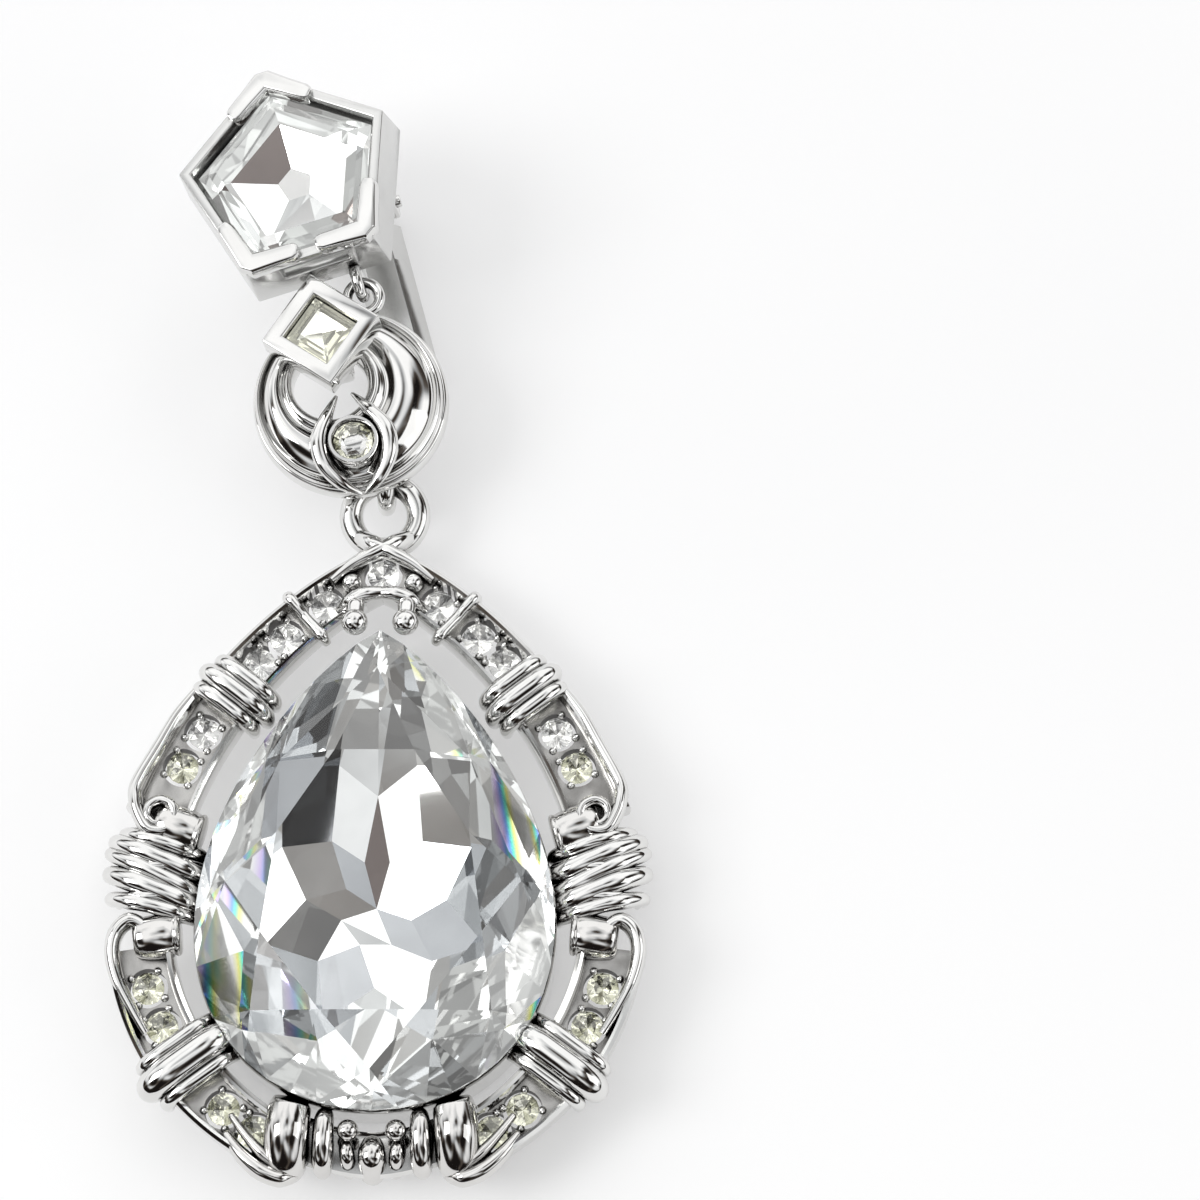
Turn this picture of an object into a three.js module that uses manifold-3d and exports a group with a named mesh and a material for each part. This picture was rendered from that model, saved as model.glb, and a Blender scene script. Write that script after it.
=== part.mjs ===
// Clip-on chandelier earring of plated metal and foiled crystals, lying on its back.
// Millimetres, +Z up. +X is the wearer's view to the right, +Y runs up the earring towards the clip.
import * as THREE from "three";
import { mergeVertices } from "three/addons/utils/BufferGeometryUtils.js";
import Module from "manifold-3d";

const wasm = await Module();
wasm.setup();

// Clear space between a stone and the metal round it, and between a pin and its bore.
const STONE_CLEARANCE = 0.12;
const PIN_CLEARANCE = 0.12;

// Large pear-shaped stone.
const PEAR_WIDTH = 22;
const PEAR_LENGTH = 30;
const PEAR_CENTRE_Y = -0.85;
const PEAR_TIP_POWER = 0.65;
const PEAR_GIRDLE_Z = 5.4;
const PEAR_GIRDLE_THICKNESS = 0.35;
const PEAR_CROWN_HEIGHT = 3.5;
const PEAR_PAVILION_DEPTH = 4.5;
const PEAR_TABLE_SHARE = 0.56;
const PEAR_FACETS = 16;

// Course that the middle of the frame's arms follows round the stone.
const COURSE_WIDTH = 29.2;
const COURSE_LENGTH = 37.7;
const COURSE_CENTRE_Y = -0.45;
const COURSE_TIP_POWER = 0.43;
const COURSE_SIDE_POWER = 1.15;

// Channel arms of the frame.
const ARM_BACK_Z = 2.2;
const ARM_FLOOR_Z = 3.5;
const ARM_TOP_Z = 4.6;
const ARM_WALL = 0.65;

// Gallery that carries the pear stone.
const GALLERY_LEDGE = 0.5;
const GALLERY_FLANGE = 0.3;
const GALLERY_TOP_Z = 4.6;

// Round stones of the frame and their seats.
const ROUND_DIAMETER = 2.0;
const ROUND_CROWN = 0.42;
const ROUND_PAVILION = 0.85;
const ROUND_GIRDLE = 0.12;
const SEAT_DEPTH = 1.3;

// Foot ornament of one side, from the outside in: how far each form stands above the lowest point
// of the course, and its half sizes.
const SILL = { from: 0.88, inner: 1.2, outer: 1.0 };
const LEAF = { x: 6.0, above: 0.3, z: 2.9, radius: 1.0, length: 3.0, lift: 1.5, turn: -52 };
const BARREL = { x: 5.1, above: 2.25, z: 3.6, radius: 1.45, stretch: 1.4 };
const COLUMN = { x: 2.9, above: 1.7, z: 3.9, radius: 0.75, length: 2.2 };
const STEM = { x: 1.45, above: 1.4, z: 3.6, radius: 0.5, length: 1.4 };
const BEAD = { x: 1.45, above: 2.35, z: 4.0, radius: 0.7 };
const BELL = { above: 0.7, z: 2.9, radius: 1.25, lift: 1.4 };

// Cuffs, scrolls and rope wraps over the frame, by their share of the course. Each ends at "outer"
// beyond the course on the outside, and laps over the stone's outline by "lap" on the inside.
const CUFFS = [
  { share: 0.24, outer: 1.95, lap: -0.85, pitch: 1.0 },
  { share: 0.735, outer: 2.7, lap: 0.72, pitch: 1.35 },
];
const CUFF_RIDGE_RADIUS = 0.8;
const CUFF_TOP_Z = 5.9;
const CUFF_STEP = 0.35;
const SCROLLS = [
  { share: 0.425, lap: -0.68 },
  { share: 0.57, lap: -0.93 },
];
const BOLSTER_RADIUS = 1.3;
const BOLSTER_LENGTH = 2.9;
const BOLSTER_RISE = 0.5;
const VOLUTE_RADIUS = 1.3;
const VOLUTE_TOP_Z = 5.2;
const VOLUTE_ACROSS = 0.75;
const ROPE_SHARE = 0.492;
const ROPE_OUTER = 2.1;
const ROPE_LAP = 0.14;
const ROPE_TURN = 14;
const ROPE_LIFT = 2.2;
const ROPE_RADIUS = 0.72;
const ROPE_PITCH = 1.0;
const ROPE_TOP_Z = 5.3;

// Ball prongs at the tip of the pear stone.
const PRONG_RADIUS = 0.85;
const PRONG_SPREAD = 1.5;
const PRONG_Y = 14.7;
const PRONG_Z = 5.9;
const PRONG_POST = { width: 1.5, front: 0.1, lap: 0.35, below: 0.3 };
const TIP_BEAD_RADIUS = 0.6;
const TIP_BEAD_SPREAD = 1.85;
const TIP_BEAD_BELOW = 0.65;

// Loop soldered on the top of the frame.
const LOOP_RADIUS = 2.2;
const LOOP_WIRE = 0.75;
const LOOP_Z = 2.9;
const LOOP_RISE = 3.1;
const LOOP_LAP = 0.5;

// Ring of two crescents.
const RING_RADIUS = 6.3;
const RING_THICKNESS = 2.4;
const RING_RIDGE = 0.38;
const RING_HOLE_RADIUS = 2.35;
const RING_HOLE_X = -1.1;
const RING_HOLE_Y = 1.25;
const RING_EYE_RADIUS = 1.6;
const RING_EYE_WIRE = 0.58;
const RING_BACK_ABOVE_LOOP = 0.5;
const COLLET_RADIUS = 1.7;
const COLLET_X = -0.35;
const COLLET_Y = -3.2;
const COLLET_HEIGHT = 0.9;
const COLLET_STONE_DIAMETER = 2.5;
const COLLET_STONE_CROWN = 0.5;
const COLLET_STONE_PAVILION = 1.0;
const COLLET_STONE_SINK = 0.25;
const RIBBON_WIDTH = 1.0;
const RIBBON_THICKNESS = 0.7;
const RIBBON_UP = 3.0;
const RIBBON_DOWN = 3.1;

// Square setting with its bail.
const SQUARE_SIDE = 5.4;
const SQUARE_DEPTH = 2.0;
const SQUARE_OPENING = 3.4;
const SQUARE_STONE_SIDE = 3.0;
const SQUARE_STONE_DEPTH = 1.3;
const SQUARE_STONE_CROWN = 0.45;
const SQUARE_STONE_PAVILION = 0.75;
const SQUARE_STONE_GIRDLE = 0.15;
const SQUARE_STONE_SINK = 0.55;
const SQUARE_TABLE_SHARE = 0.62;
const SQUARE_ABOVE_RING = 1.0;
const BAIL_WIDTH = 2.2;
const BAIL_WALL = 0.65;
const BAIL_HOLE = 4.9;
const BAIL_PLAY = 1.8;
const BAIL_SINK = 0.3;
const BAIL_X = 0.2;
const BAIL_Y = 0.9;
const HOOK_RADIUS = 1.05;
const HOOK_WIRE = 0.36;

// Five-sided setting of the top stone.
const BEZEL_RADIUS = 7.2;
const BEZEL_FLARE = 0.4;
const BEZEL_DEPTH = 4.0;
const BEZEL_WALL = 0.75;
const BEZEL_FLOOR = 0.7;
const CLAW_LENGTH = 3.4;
const CLAW_WIDTH = 1.35;
const CLAW_THICKNESS = 0.9;
const CLAW_RISE = 0.55;
const CLAW_CORNERS = [90, -54, -126];
const WINDOW_WIDTH = 4.2;
const WINDOW_HEIGHT = 1.5;
const WINDOW_BAR = 0.6;
const PENTAGON_STONE_GAP = 0.32;
const PENTAGON_TABLE_SHARE = 0.8;
const PENTAGON_CROWN = 1.15;
const PENTAGON_GIRDLE = 0.3;
const PENTAGON_SINK = 0.55;
const LUG_RADIUS = 0.95;
const LUG_X = 2.1;
const LUG_Z = 0.25;

// Ear clip: yoke on the back of the setting, pin and lever.
const CLIP_X = 3.0;
const EAR_GAP = 5.2;
const YOKE_INNER_WIDTH = 2.7;
const YOKE_PLATE = 0.7;
const YOKE_HEIGHT = 4.4;
const HINGE_Y = 0.4;
const KNUCKLE_RADIUS = 1.05;
const PIN_RADIUS = 0.4;
const LEVER_WIDTH = 3.6;
const LEVER_PLATE = 0.7;
const LEVER_LENGTH = 10.6;
const LEVER_HEEL_DEPTH = 2.0;
const LEVER_TOE_DEPTH = 1.0;
const LEVER_SIDE = 0.6;
const LEVER_HEEL_GAP = 0.35;
const TONGUE_LAP = 0.8;
const TONGUE_RISE = 0.2;
const LEVER_TIP_RADIUS = 0.5;

// Where each station of the chain lies, from the one that it hangs on: the ring from the top of the
// loop, the square from the middle of the ring, and the hook that holds the top setting's lug from
// the middle of the square. Turns and rolls are in degrees.
const RING_PLACE = { x: -2.15, above: 4.65, turn: 12, roll: 0 };
const SQUARE_PLACE = { x: -1.6, above: 3.45, turn: 11, roll: 4 };
const HOOK_PLACE = { x: 2.9, above: 2.24 };
const TOP_PLACE = { turn: 15, roll: 9 };
const FLOOR_CLEARANCE = 0.05;
const EYE_SHIFT_X = 0.1;
const EYE_SHIFT_Z = 0.15;

const STONE_LOOK = { color: 0xeef1ee, roughness: 0.03, metalness: 0.1 };
const METAL_LOOK = { color: 0xcfcfca, roughness: 0.12, metalness: 1.0 };

// A closed three.js geometry, moved by a matrix, as a solid that can be joined and cut.
function solid(geometry, matrix = new THREE.Matrix4()) {
  const bare = geometry.clone();
  bare.deleteAttribute("normal");
  bare.deleteAttribute("uv");
  bare.applyMatrix4(matrix);
  const merged = mergeVertices(bare, 1e-4);
  const triVerts = new Uint32Array(merged.index.array);
  const vertProperties = merged.attributes.position.array;
  return new wasm.Manifold(new wasm.Mesh({ numProp: 3, vertProperties, triVerts }));
}

function joined(solids) {
  return solids.reduce((sum, next) => sum.add(next));
}

// The same solid on the other side of the plane x = 0.
function mirrored(body) {
  const { vertProperties, triVerts } = body.getMesh();
  for (let i = 0; i < vertProperties.length; i += 3) vertProperties[i] *= -1;
  for (let i = 0; i < triVerts.length; i += 3) {
    [triVerts[i + 1], triVerts[i + 2]] = [triVerts[i + 2], triVerts[i + 1]];
  }
  return new wasm.Manifold(new wasm.Mesh({ numProp: 3, vertProperties, triVerts }));
}

function geometryOf(body) {
  const mesh = body.getMesh();
  const geometry = new THREE.BufferGeometry();
  geometry.setAttribute("position", new THREE.BufferAttribute(mesh.vertProperties, 3));
  geometry.setIndex(new THREE.BufferAttribute(mesh.triVerts, 1));
  return geometry;
}

function piece(name, body, look) {
  const mesh = new THREE.Mesh(geometryOf(body), new THREE.MeshStandardMaterial(look));
  mesh.name = name;
  return mesh;
}

// A place: position, then a turn about X, Y and Z in degrees.
function place(x, y, z, turnX = 0, turnY = 0, turnZ = 0) {
  const angles = [turnX, turnY, turnZ].map(THREE.MathUtils.degToRad);
  return new THREE.Matrix4()
    .makeRotationFromEuler(new THREE.Euler(...angles, "ZYX"))
    .setPosition(x, y, z);
}

// Prism or frustum that stands on the XY plane, with one corner towards -Y.
function prism(sides, bottomRadius, topRadius, height) {
  return new THREE.CylinderGeometry(topRadius, bottomRadius, height, sides)
    .rotateX(Math.PI / 2)
    .translate(0, 0, height / 2);
}

// Turn that stands an outline drawn in X and Y up on its edge, across the X axis.
function onEdge() {
  return new THREE.Matrix4().makeBasis(
    new THREE.Vector3(0, 1, 0),
    new THREE.Vector3(0, 0, 1),
    new THREE.Vector3(1, 0, 0),
  );
}

function block(width, length, height) {
  return new THREE.BoxGeometry(width, length, height).translate(0, 0, height / 2);
}

// Flat bar with round ends along X, standing on the XY plane.
function stadium(length, width, height) {
  const half = length / 2;
  const shape = new THREE.Shape();
  shape.absarc(half, 0, width / 2, -Math.PI / 2, Math.PI / 2, false);
  shape.absarc(-half, 0, width / 2, Math.PI / 2, 1.5 * Math.PI, false);
  return new THREE.ExtrudeGeometry(shape, { depth: height, bevelEnabled: false, curveSegments: 4 });
}

// Half of a pear outline, from the tip at the top, down the right side, to the bottom.
class PearCourse extends THREE.Curve {
  constructor(width, length, centreY, tipPower, sidePower = 1) {
    super();
    this.halfWidth = width / 2;
    this.halfLength = length / 2;
    this.centreY = centreY;
    this.tipPower = tipPower;
    this.sidePower = sidePower;
    this.widest = 1;
    const steps = 180;
    const samples = Array.from({ length: steps + 1 }, (_, i) => this.getPoint(i / steps).x);
    this.widest = Math.max(...samples) / this.halfWidth;
  }

  getPoint(t, target = new THREE.Vector3()) {
    const angle = Math.PI * t;
    const bulge = Math.sin(angle) ** this.sidePower * Math.sin(angle / 2) ** this.tipPower;
    const x = (this.halfWidth * bulge) / this.widest;
    return target.set(x, this.centreY + this.halfLength * Math.cos(angle), 0);
  }
}

// Closed pear outline grown outwards by an amount, as a shape in the XY plane.
function pearShape(grow, count) {
  const half = new PearCourse(
    PEAR_WIDTH + 2 * grow,
    PEAR_LENGTH + 2 * grow,
    PEAR_CENTRE_Y,
    PEAR_TIP_POWER,
  );
  const right = half.getSpacedPoints(count);
  const left = right
    .slice(1, -1)
    .reverse()
    .map((p) => new THREE.Vector3(-p.x, p.y, 0));
  return new THREE.Shape([...right, ...left].map((p) => new THREE.Vector2(p.x, p.y)));
}

function slab(shape, bottom, top) {
  const geometry = new THREE.ExtrudeGeometry(shape, { depth: top - bottom, bevelEnabled: false });
  return geometry.translate(0, 0, bottom);
}

// Pear stone, cut from a prism of its outline: table, crown and pavilion facets.
// Each tier gives its slope, the height where its planes meet the outline, and its first share.
function pearStoneSolid(grow) {
  const top = PEAR_GIRDLE_Z + PEAR_CROWN_HEIGHT + grow;
  const bottom = PEAR_GIRDLE_Z - PEAR_PAVILION_DEPTH - grow;
  const outline = pearShape(grow, 2 * PEAR_FACETS);
  let stone = solid(slab(outline, bottom, top));
  const girdleTop = PEAR_GIRDLE_Z + PEAR_GIRDLE_THICKNESS / 2 + grow;
  const girdleBottom = PEAR_GIRDLE_Z - PEAR_GIRDLE_THICKNESS / 2 - grow;
  const crownSlope = PEAR_CROWN_HEIGHT / ((1 - PEAR_TABLE_SHARE) * (PEAR_WIDTH / 2));
  const pavilionSlope = PEAR_PAVILION_DEPTH / (PEAR_WIDTH / 2);
  const tiers = [
    { slope: crownSlope, up: 1, from: girdleTop, step: 1 },
    { slope: crownSlope * 1.35, up: 1, from: girdleTop - 0.08, step: 0.5 },
    { slope: pavilionSlope, up: -1, from: girdleBottom, step: 1 },
    { slope: pavilionSlope * 1.6, up: -1, from: girdleBottom + 0.08, step: 0.5 },
  ];
  const points = outline.getPoints();
  for (const tier of tiers) {
    for (let k = tier.step === 1 ? 0 : 0.5; k < PEAR_FACETS; k += 1) {
      const angle = (2 * Math.PI * k) / PEAR_FACETS;
      const out = new THREE.Vector2(Math.sin(angle), Math.cos(angle));
      const reach = Math.max(...points.map((p) => p.dot(out)));
      const normal = new THREE.Vector3(out.x * tier.slope, out.y * tier.slope, tier.up).normalize();
      const offset = (reach * tier.slope + tier.from * tier.up) / Math.hypot(tier.slope, 1);
      stone = stone.trimByPlane(normal.negate().toArray(), -offset);
    }
  }
  return stone;
}

// Brilliant with a table, crown and pavilion facets, its girdle at z = 0.
function roundStone(diameter, crown, pavilion, girdle, sides) {
  const radius = diameter / 2;
  const tableRadius = radius * 0.58;
  const profile = [
    new THREE.Vector2(0, -pavilion),
    new THREE.Vector2(radius, -girdle),
    new THREE.Vector2(radius, 0),
    new THREE.Vector2(tableRadius, crown),
    new THREE.Vector2(0, crown),
  ];
  return new THREE.LatheGeometry(profile, sides).rotateX(Math.PI / 2);
}

// Step-cut stone on a polygon: pavilion, girdle, two crown steps and the table.
function stepStone(sides, radius, crown, pavilion, girdle, tableShare) {
  const profile = [
    new THREE.Vector2(0, -pavilion),
    new THREE.Vector2(radius * 0.72, -girdle - 0.36 * pavilion),
    new THREE.Vector2(radius, -girdle),
    new THREE.Vector2(radius, 0),
    new THREE.Vector2(radius * (0.45 + 0.55 * tableShare), 0.62 * crown),
    new THREE.Vector2(radius * tableShare, crown),
    new THREE.Vector2(0, crown),
  ];
  return new THREE.LatheGeometry(profile, sides).rotateX(Math.PI / 2);
}

const course = new PearCourse(
  COURSE_WIDTH,
  COURSE_LENGTH,
  COURSE_CENTRE_Y,
  COURSE_TIP_POWER,
  COURSE_SIDE_POWER,
);

// Point on the course and the matrix that stands there: local X points outwards, local Y back
// towards the tip. "across" moves it outwards.
function station(share, across = 0, z = 0, turn = 0) {
  const point = course.getPointAt(share);
  const along = course.getTangentAt(share);
  const out = new THREE.Vector3(-along.y, along.x, 0);
  point.addScaledVector(out, across);
  const heading = THREE.MathUtils.radToDeg(Math.atan2(out.y, out.x));
  return place(point.x, point.y, z, 0, 0, heading + turn);
}

// Distance from the course to the pear stone's outline at a share.
function stoneGap(share) {
  const here = course.getPointAt(share);
  const outline = pearShape(0, 200).getPoints();
  return Math.min(...outline.map((p) => Math.hypot(p.x - here.x, p.y - here.y)));
}

// Ribbon of metal along the course between two shares, as a shape in the XY plane.
function ribbon(from, to, inner, outer, steps) {
  const insideEdge = [];
  const outsideEdge = [];
  for (let i = 0; i <= steps; i += 1) {
    const t = i / steps;
    const share = from + (to - from) * t;
    const point = course.getPointAt(share);
    const along = course.getTangentAt(share);
    const out = new THREE.Vector2(-along.y, along.x);
    const base = new THREE.Vector2(point.x, point.y);
    insideEdge.push(base.clone().addScaledVector(out, inner(t)));
    outsideEdge.push(base.clone().addScaledVector(out, outer(t)));
  }
  return new THREE.Shape([...outsideEdge, ...insideEdge.reverse()]);
}

// Arms of one side: shares of the course where each begins and ends, and widths there.
const ARMS = [
  { from: 0, to: 0.235, startWidth: 3.1, endWidth: 3.5 },
  { from: 0.225, to: 0.42, startWidth: 3.7, endWidth: 4.1 },
  { from: 0.565, to: 0.735, startWidth: 4.2, endWidth: 4.0 },
  { from: 0.735, to: 0.9, startWidth: 3.8, endWidth: 3.3 },
];
const ARM_STEPS = 6;
const GROOVE_OVERRUN = 0.01;

// Stones of one side by their share of the course; the one at the tip is shared by both sides.
const STONE_SHARES = [0.08, 0.145, 0.19, 0.3, 0.35, 0.63, 0.68, 0.805, 0.85];

function arm(row) {
  const width = (t) => THREE.MathUtils.lerp(row.startWidth, row.endWidth, t) / 2;
  const body = ribbon(row.from, row.to, (t) => -width(t), width, ARM_STEPS);
  const groove = ribbon(
    Math.max(0, row.from - GROOVE_OVERRUN),
    row.to + GROOVE_OVERRUN,
    (t) => ARM_WALL - width(t),
    (t) => width(t) - ARM_WALL,
    ARM_STEPS,
  );
  return {
    body: solid(slab(body, ARM_BACK_Z, ARM_TOP_Z)),
    groove: solid(slab(groove, ARM_FLOOR_Z, ARM_TOP_Z + 1)),
  };
}

// Rounded ridge that lies across an arm, its top at a given height.
function ridge(length, radius, top, share, across, turn = 0, lift = 1.7) {
  const capsule = new THREE.CapsuleGeometry(radius, length - 2 * radius, 2, 8)
    .rotateZ(Math.PI / 2)
    .scale(1, 1, lift);
  return solid(capsule, station(share, across, top - radius * lift, turn));
}

// Three ridges side by side over a solid saddle that closes the channel below them.
function cuff({ share, outer, lap, pitch }) {
  const perMillimetre = 1 / course.getLength();
  const inner = stoneGap(share) + lap;
  const length = outer + inner;
  const across = (outer - inner) / 2;
  const ridges = [-1, 0, 1].map((k) => {
    const radius = k === 0 ? CUFF_RIDGE_RADIUS * 1.15 : CUFF_RIDGE_RADIUS * 0.8;
    const top = k === 0 ? CUFF_TOP_Z : CUFF_TOP_Z - CUFF_STEP;
    return ridge(length - 0.5 * Math.abs(k), radius, top, share + k * pitch * perMillimetre, across);
  });
  const saddle = block(length - 1.2, 2.6 * pitch, ARM_TOP_Z - ARM_BACK_Z);
  return [...ridges, solid(saddle, station(share, across, ARM_BACK_Z))];
}

function rope() {
  const perMillimetre = 1 / course.getLength();
  const inner = stoneGap(ROPE_SHARE) + ROPE_LAP;
  return [-2, -1, 0, 1, 2].map((k) => {
    const top = ROPE_TOP_Z - 0.08 * k * k;
    const length = ROPE_OUTER + inner - 0.25 * k * k;
    const share = ROPE_SHARE + k * ROPE_PITCH * perMillimetre;
    return ridge(length, ROPE_RADIUS, top, share, (ROPE_OUTER - inner) / 2, ROPE_TURN, ROPE_LIFT);
  });
}

// Scroll: a bolster that points at the stone, and a volute at its outer end.
function scroll({ share, lap }) {
  const across = BOLSTER_LENGTH / 2 - stoneGap(share) - lap;
  const bolster = new THREE.CylinderGeometry(
    BOLSTER_RADIUS,
    BOLSTER_RADIUS,
    BOLSTER_LENGTH,
    10,
  ).rotateZ(Math.PI / 2);
  const volute = prism(12, VOLUTE_RADIUS, VOLUTE_RADIUS * 0.85, VOLUTE_TOP_Z - ARM_BACK_Z);
  return [
    solid(bolster, station(share, across, ARM_TOP_Z - BOLSTER_RADIUS + BOLSTER_RISE)),
    solid(volute, station(share, VOLUTE_ACROSS, ARM_BACK_Z)),
  ];
}

// Where the middle of a form of the foot ornament lies along the drop.
function footY(form) {
  return COURSE_CENTRE_Y - COURSE_LENGTH / 2 + form.above;
}

// Capsule along Y that stands at the middle of a form of the foot ornament.
function rounded(form) {
  return solid(
    new THREE.CapsuleGeometry(form.radius, form.length, 2, 8),
    place(form.x, footY(form), form.z),
  );
}

// Foot ornament of one side on its sill: leaf curl, barrel, column, stem and bead.
function foot() {
  const sill = ribbon(SILL.from, 1, () => -SILL.inner, () => SILL.outer, 3);
  const leaf = new THREE.CapsuleGeometry(LEAF.radius, LEAF.length, 2, 8).scale(1, 1, LEAF.lift);
  const barrel = new THREE.SphereGeometry(BARREL.radius, 10, 6).scale(1, BARREL.stretch, 1);
  const bead = new THREE.SphereGeometry(BEAD.radius, 8, 6);
  return [
    solid(slab(sill, ARM_BACK_Z, ARM_FLOOR_Z)),
    solid(leaf, place(LEAF.x, footY(LEAF), LEAF.z, 0, 0, LEAF.turn)),
    solid(barrel, place(BARREL.x, footY(BARREL), BARREL.z)),
    rounded(COLUMN),
    rounded(STEM),
    solid(bead, place(BEAD.x, footY(BEAD), BEAD.z)),
  ];
}

// The whole openwork frame with its gallery, prongs and loop, cast and soldered as one.
function frameSolid() {
  const arms = ARMS.map(arm);
  const tip = course.getPointAt(0).y;
  const postStart = PRONG_Y - PRONG_POST.front;
  const postEnd = tip - ARMS[0].startWidth / 2 + PRONG_POST.lap;
  const half = joined([
    ...arms.map((a) => a.body.subtract(a.groove)),
    ...CUFFS.flatMap(cuff),
    ...rope(),
    ...SCROLLS.flatMap(scroll),
    ...foot(),
    solid(
      new THREE.SphereGeometry(TIP_BEAD_RADIUS, 8, 6),
      place(TIP_BEAD_SPREAD, tip - TIP_BEAD_BELOW, ARM_FLOOR_Z + TIP_BEAD_RADIUS / 2),
    ),
    solid(new THREE.SphereGeometry(PRONG_RADIUS, 10, 8), place(PRONG_SPREAD, PRONG_Y, PRONG_Z)),
    solid(
      block(PRONG_POST.width, postEnd - postStart, PRONG_Z - ARM_BACK_Z - PRONG_POST.below),
      place(PRONG_SPREAD, (postStart + postEnd) / 2, ARM_BACK_Z),
    ),
  ]);

  const gallery = solid(slab(pearShape(GALLERY_FLANGE, 20), 0, GALLERY_TOP_Z));
  const well = solid(slab(pearShape(-GALLERY_LEDGE, 20), -1, GALLERY_TOP_Z + 1));
  const bell = new THREE.SphereGeometry(BELL.radius, 10, 6).scale(0.95, 1.25, BELL.lift);
  let frame = joined([
    half,
    mirrored(half),
    gallery.subtract(well),
    solid(new THREE.TorusGeometry(LOOP_RADIUS, LOOP_WIRE, 8, 16), place(0, loopY(), LOOP_Z)),
    solid(bell, place(0, footY(BELL), BELL.z)),
  ]);
  const seat = prism(
    12,
    ROUND_DIAMETER / 2 + STONE_CLEARANCE,
    ROUND_DIAMETER / 2 + STONE_CLEARANCE,
    SEAT_DEPTH + 3,
  );
  for (const spot of stoneSpots()) {
    frame = frame.subtract(solid(seat, place(spot.x, spot.y, ARM_FLOOR_Z - SEAT_DEPTH)));
  }
  return frame.subtract(pearStoneSolid(STONE_CLEARANCE));
}

// Middles of all round stones of the frame: the tip, then each pair down the sides.
function stoneSpots() {
  const right = STONE_SHARES.map((share) => course.getPointAt(share));
  const pairs = right.flatMap((spot) => [spot, new THREE.Vector3(-spot.x, spot.y, 0)]);
  return [course.getPointAt(0), ...pairs];
}

// Ring of two crescents, its back at z = 0, its middle at the origin.
function ringSolid() {
  const edge = RING_RADIUS - RING_RIDGE;
  const profile = [
    new THREE.Vector2(0, 0),
    new THREE.Vector2(edge, 0),
    new THREE.Vector2(RING_RADIUS, 0.35 * RING_THICKNESS),
    new THREE.Vector2(RING_RADIUS - 0.2, 0.7 * RING_THICKNESS),
    new THREE.Vector2(edge - 0.3, 0.78 * RING_THICKNESS),
    new THREE.Vector2(edge - 0.8, 0.62 * RING_THICKNESS),
    new THREE.Vector2(edge - 1.6, 0.92 * RING_THICKNESS),
    new THREE.Vector2(edge - 2.6, RING_THICKNESS),
    new THREE.Vector2(0, RING_THICKNESS),
  ];
  const disc = solid(new THREE.LatheGeometry(profile, 24).rotateX(Math.PI / 2));
  const hole = solid(
    prism(16, RING_HOLE_RADIUS, RING_HOLE_RADIUS + 0.5, RING_THICKNESS + 2),
    place(RING_HOLE_X, RING_HOLE_Y, -1),
  );
  const lip = new THREE.TorusGeometry(RING_HOLE_RADIUS + 0.75, RING_RIDGE, 6, 16);
  const collet = prism(12, COLLET_RADIUS, COLLET_RADIUS, RING_THICKNESS + COLLET_HEIGHT);
  const bore = prism(
    12,
    COLLET_STONE_DIAMETER / 2 + STONE_CLEARANCE,
    COLLET_STONE_DIAMETER / 2 + STONE_CLEARANCE,
    SEAT_DEPTH + 1,
  );
  const boreZ = RING_THICKNESS + COLLET_HEIGHT - SEAT_DEPTH;
  const eye = new THREE.TorusGeometry(RING_EYE_RADIUS, RING_EYE_WIRE, 8, 14);
  return joined([
    disc,
    solid(lip, place(RING_HOLE_X, RING_HOLE_Y, RING_THICKNESS - 0.1)),
    ...[-1, 1].map((side) => solid(leafRibbon(side), place(COLLET_X, COLLET_Y, 0.3))),
  ])
    .subtract(hole)
    .add(solid(collet, place(COLLET_X, COLLET_Y, 0)))
    .subtract(solid(bore, place(COLLET_X, COLLET_Y, boreZ)))
    .add(solid(eye, eyePlace()));
}

// Eye behind the ring that goes through the loop of the frame.
function eyePlace() {
  const ring = ringMatrix();
  const loopTop = frameLoopTop();
  const local = loopTop.applyMatrix4(ring.clone().invert());
  return place(local.x, local.y, local.z, 0, 90, 0);
}

// Middle of the loop on the top of the frame.
function loopY() {
  return course.getPointAt(0).y + LOOP_RISE + ARMS[0].startWidth / 2 - LOOP_LAP;
}

// Middle of the loop's wire at its upper side, where the eye hangs on it.
function frameLoopTop() {
  return new THREE.Vector3(EYE_SHIFT_X, loopY() + LOOP_RADIUS, LOOP_Z + EYE_SHIFT_Z);
}

function ringMatrix() {
  const back = LOOP_Z + LOOP_WIRE + RING_BACK_ABOVE_LOOP;
  const y = loopY() + LOOP_RADIUS + RING_PLACE.above;
  return place(RING_PLACE.x, y, back, 0, -RING_PLACE.roll, RING_PLACE.turn);
}

// Pointed leaf that runs round one side of the collet, as a bent strip.
function leafRibbon(side) {
  const reach = COLLET_RADIUS + RIBBON_WIDTH;
  const lap = -0.2 * side;
  const shape = new THREE.Shape();
  shape.moveTo(lap, RIBBON_UP + 0.1 * side);
  shape.quadraticCurveTo(side * (reach + 1.0), 0.6, lap, 0.15 * side - RIBBON_DOWN);
  shape.quadraticCurveTo(side * (reach - 1.3), -0.4, lap, RIBBON_UP + 0.1 * side);
  const height = RING_THICKNESS + RIBBON_THICKNESS - 0.3;
  return new THREE.ExtrudeGeometry(shape, {
    depth: height,
    bevelEnabled: false,
    curveSegments: 6,
  });
}

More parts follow.
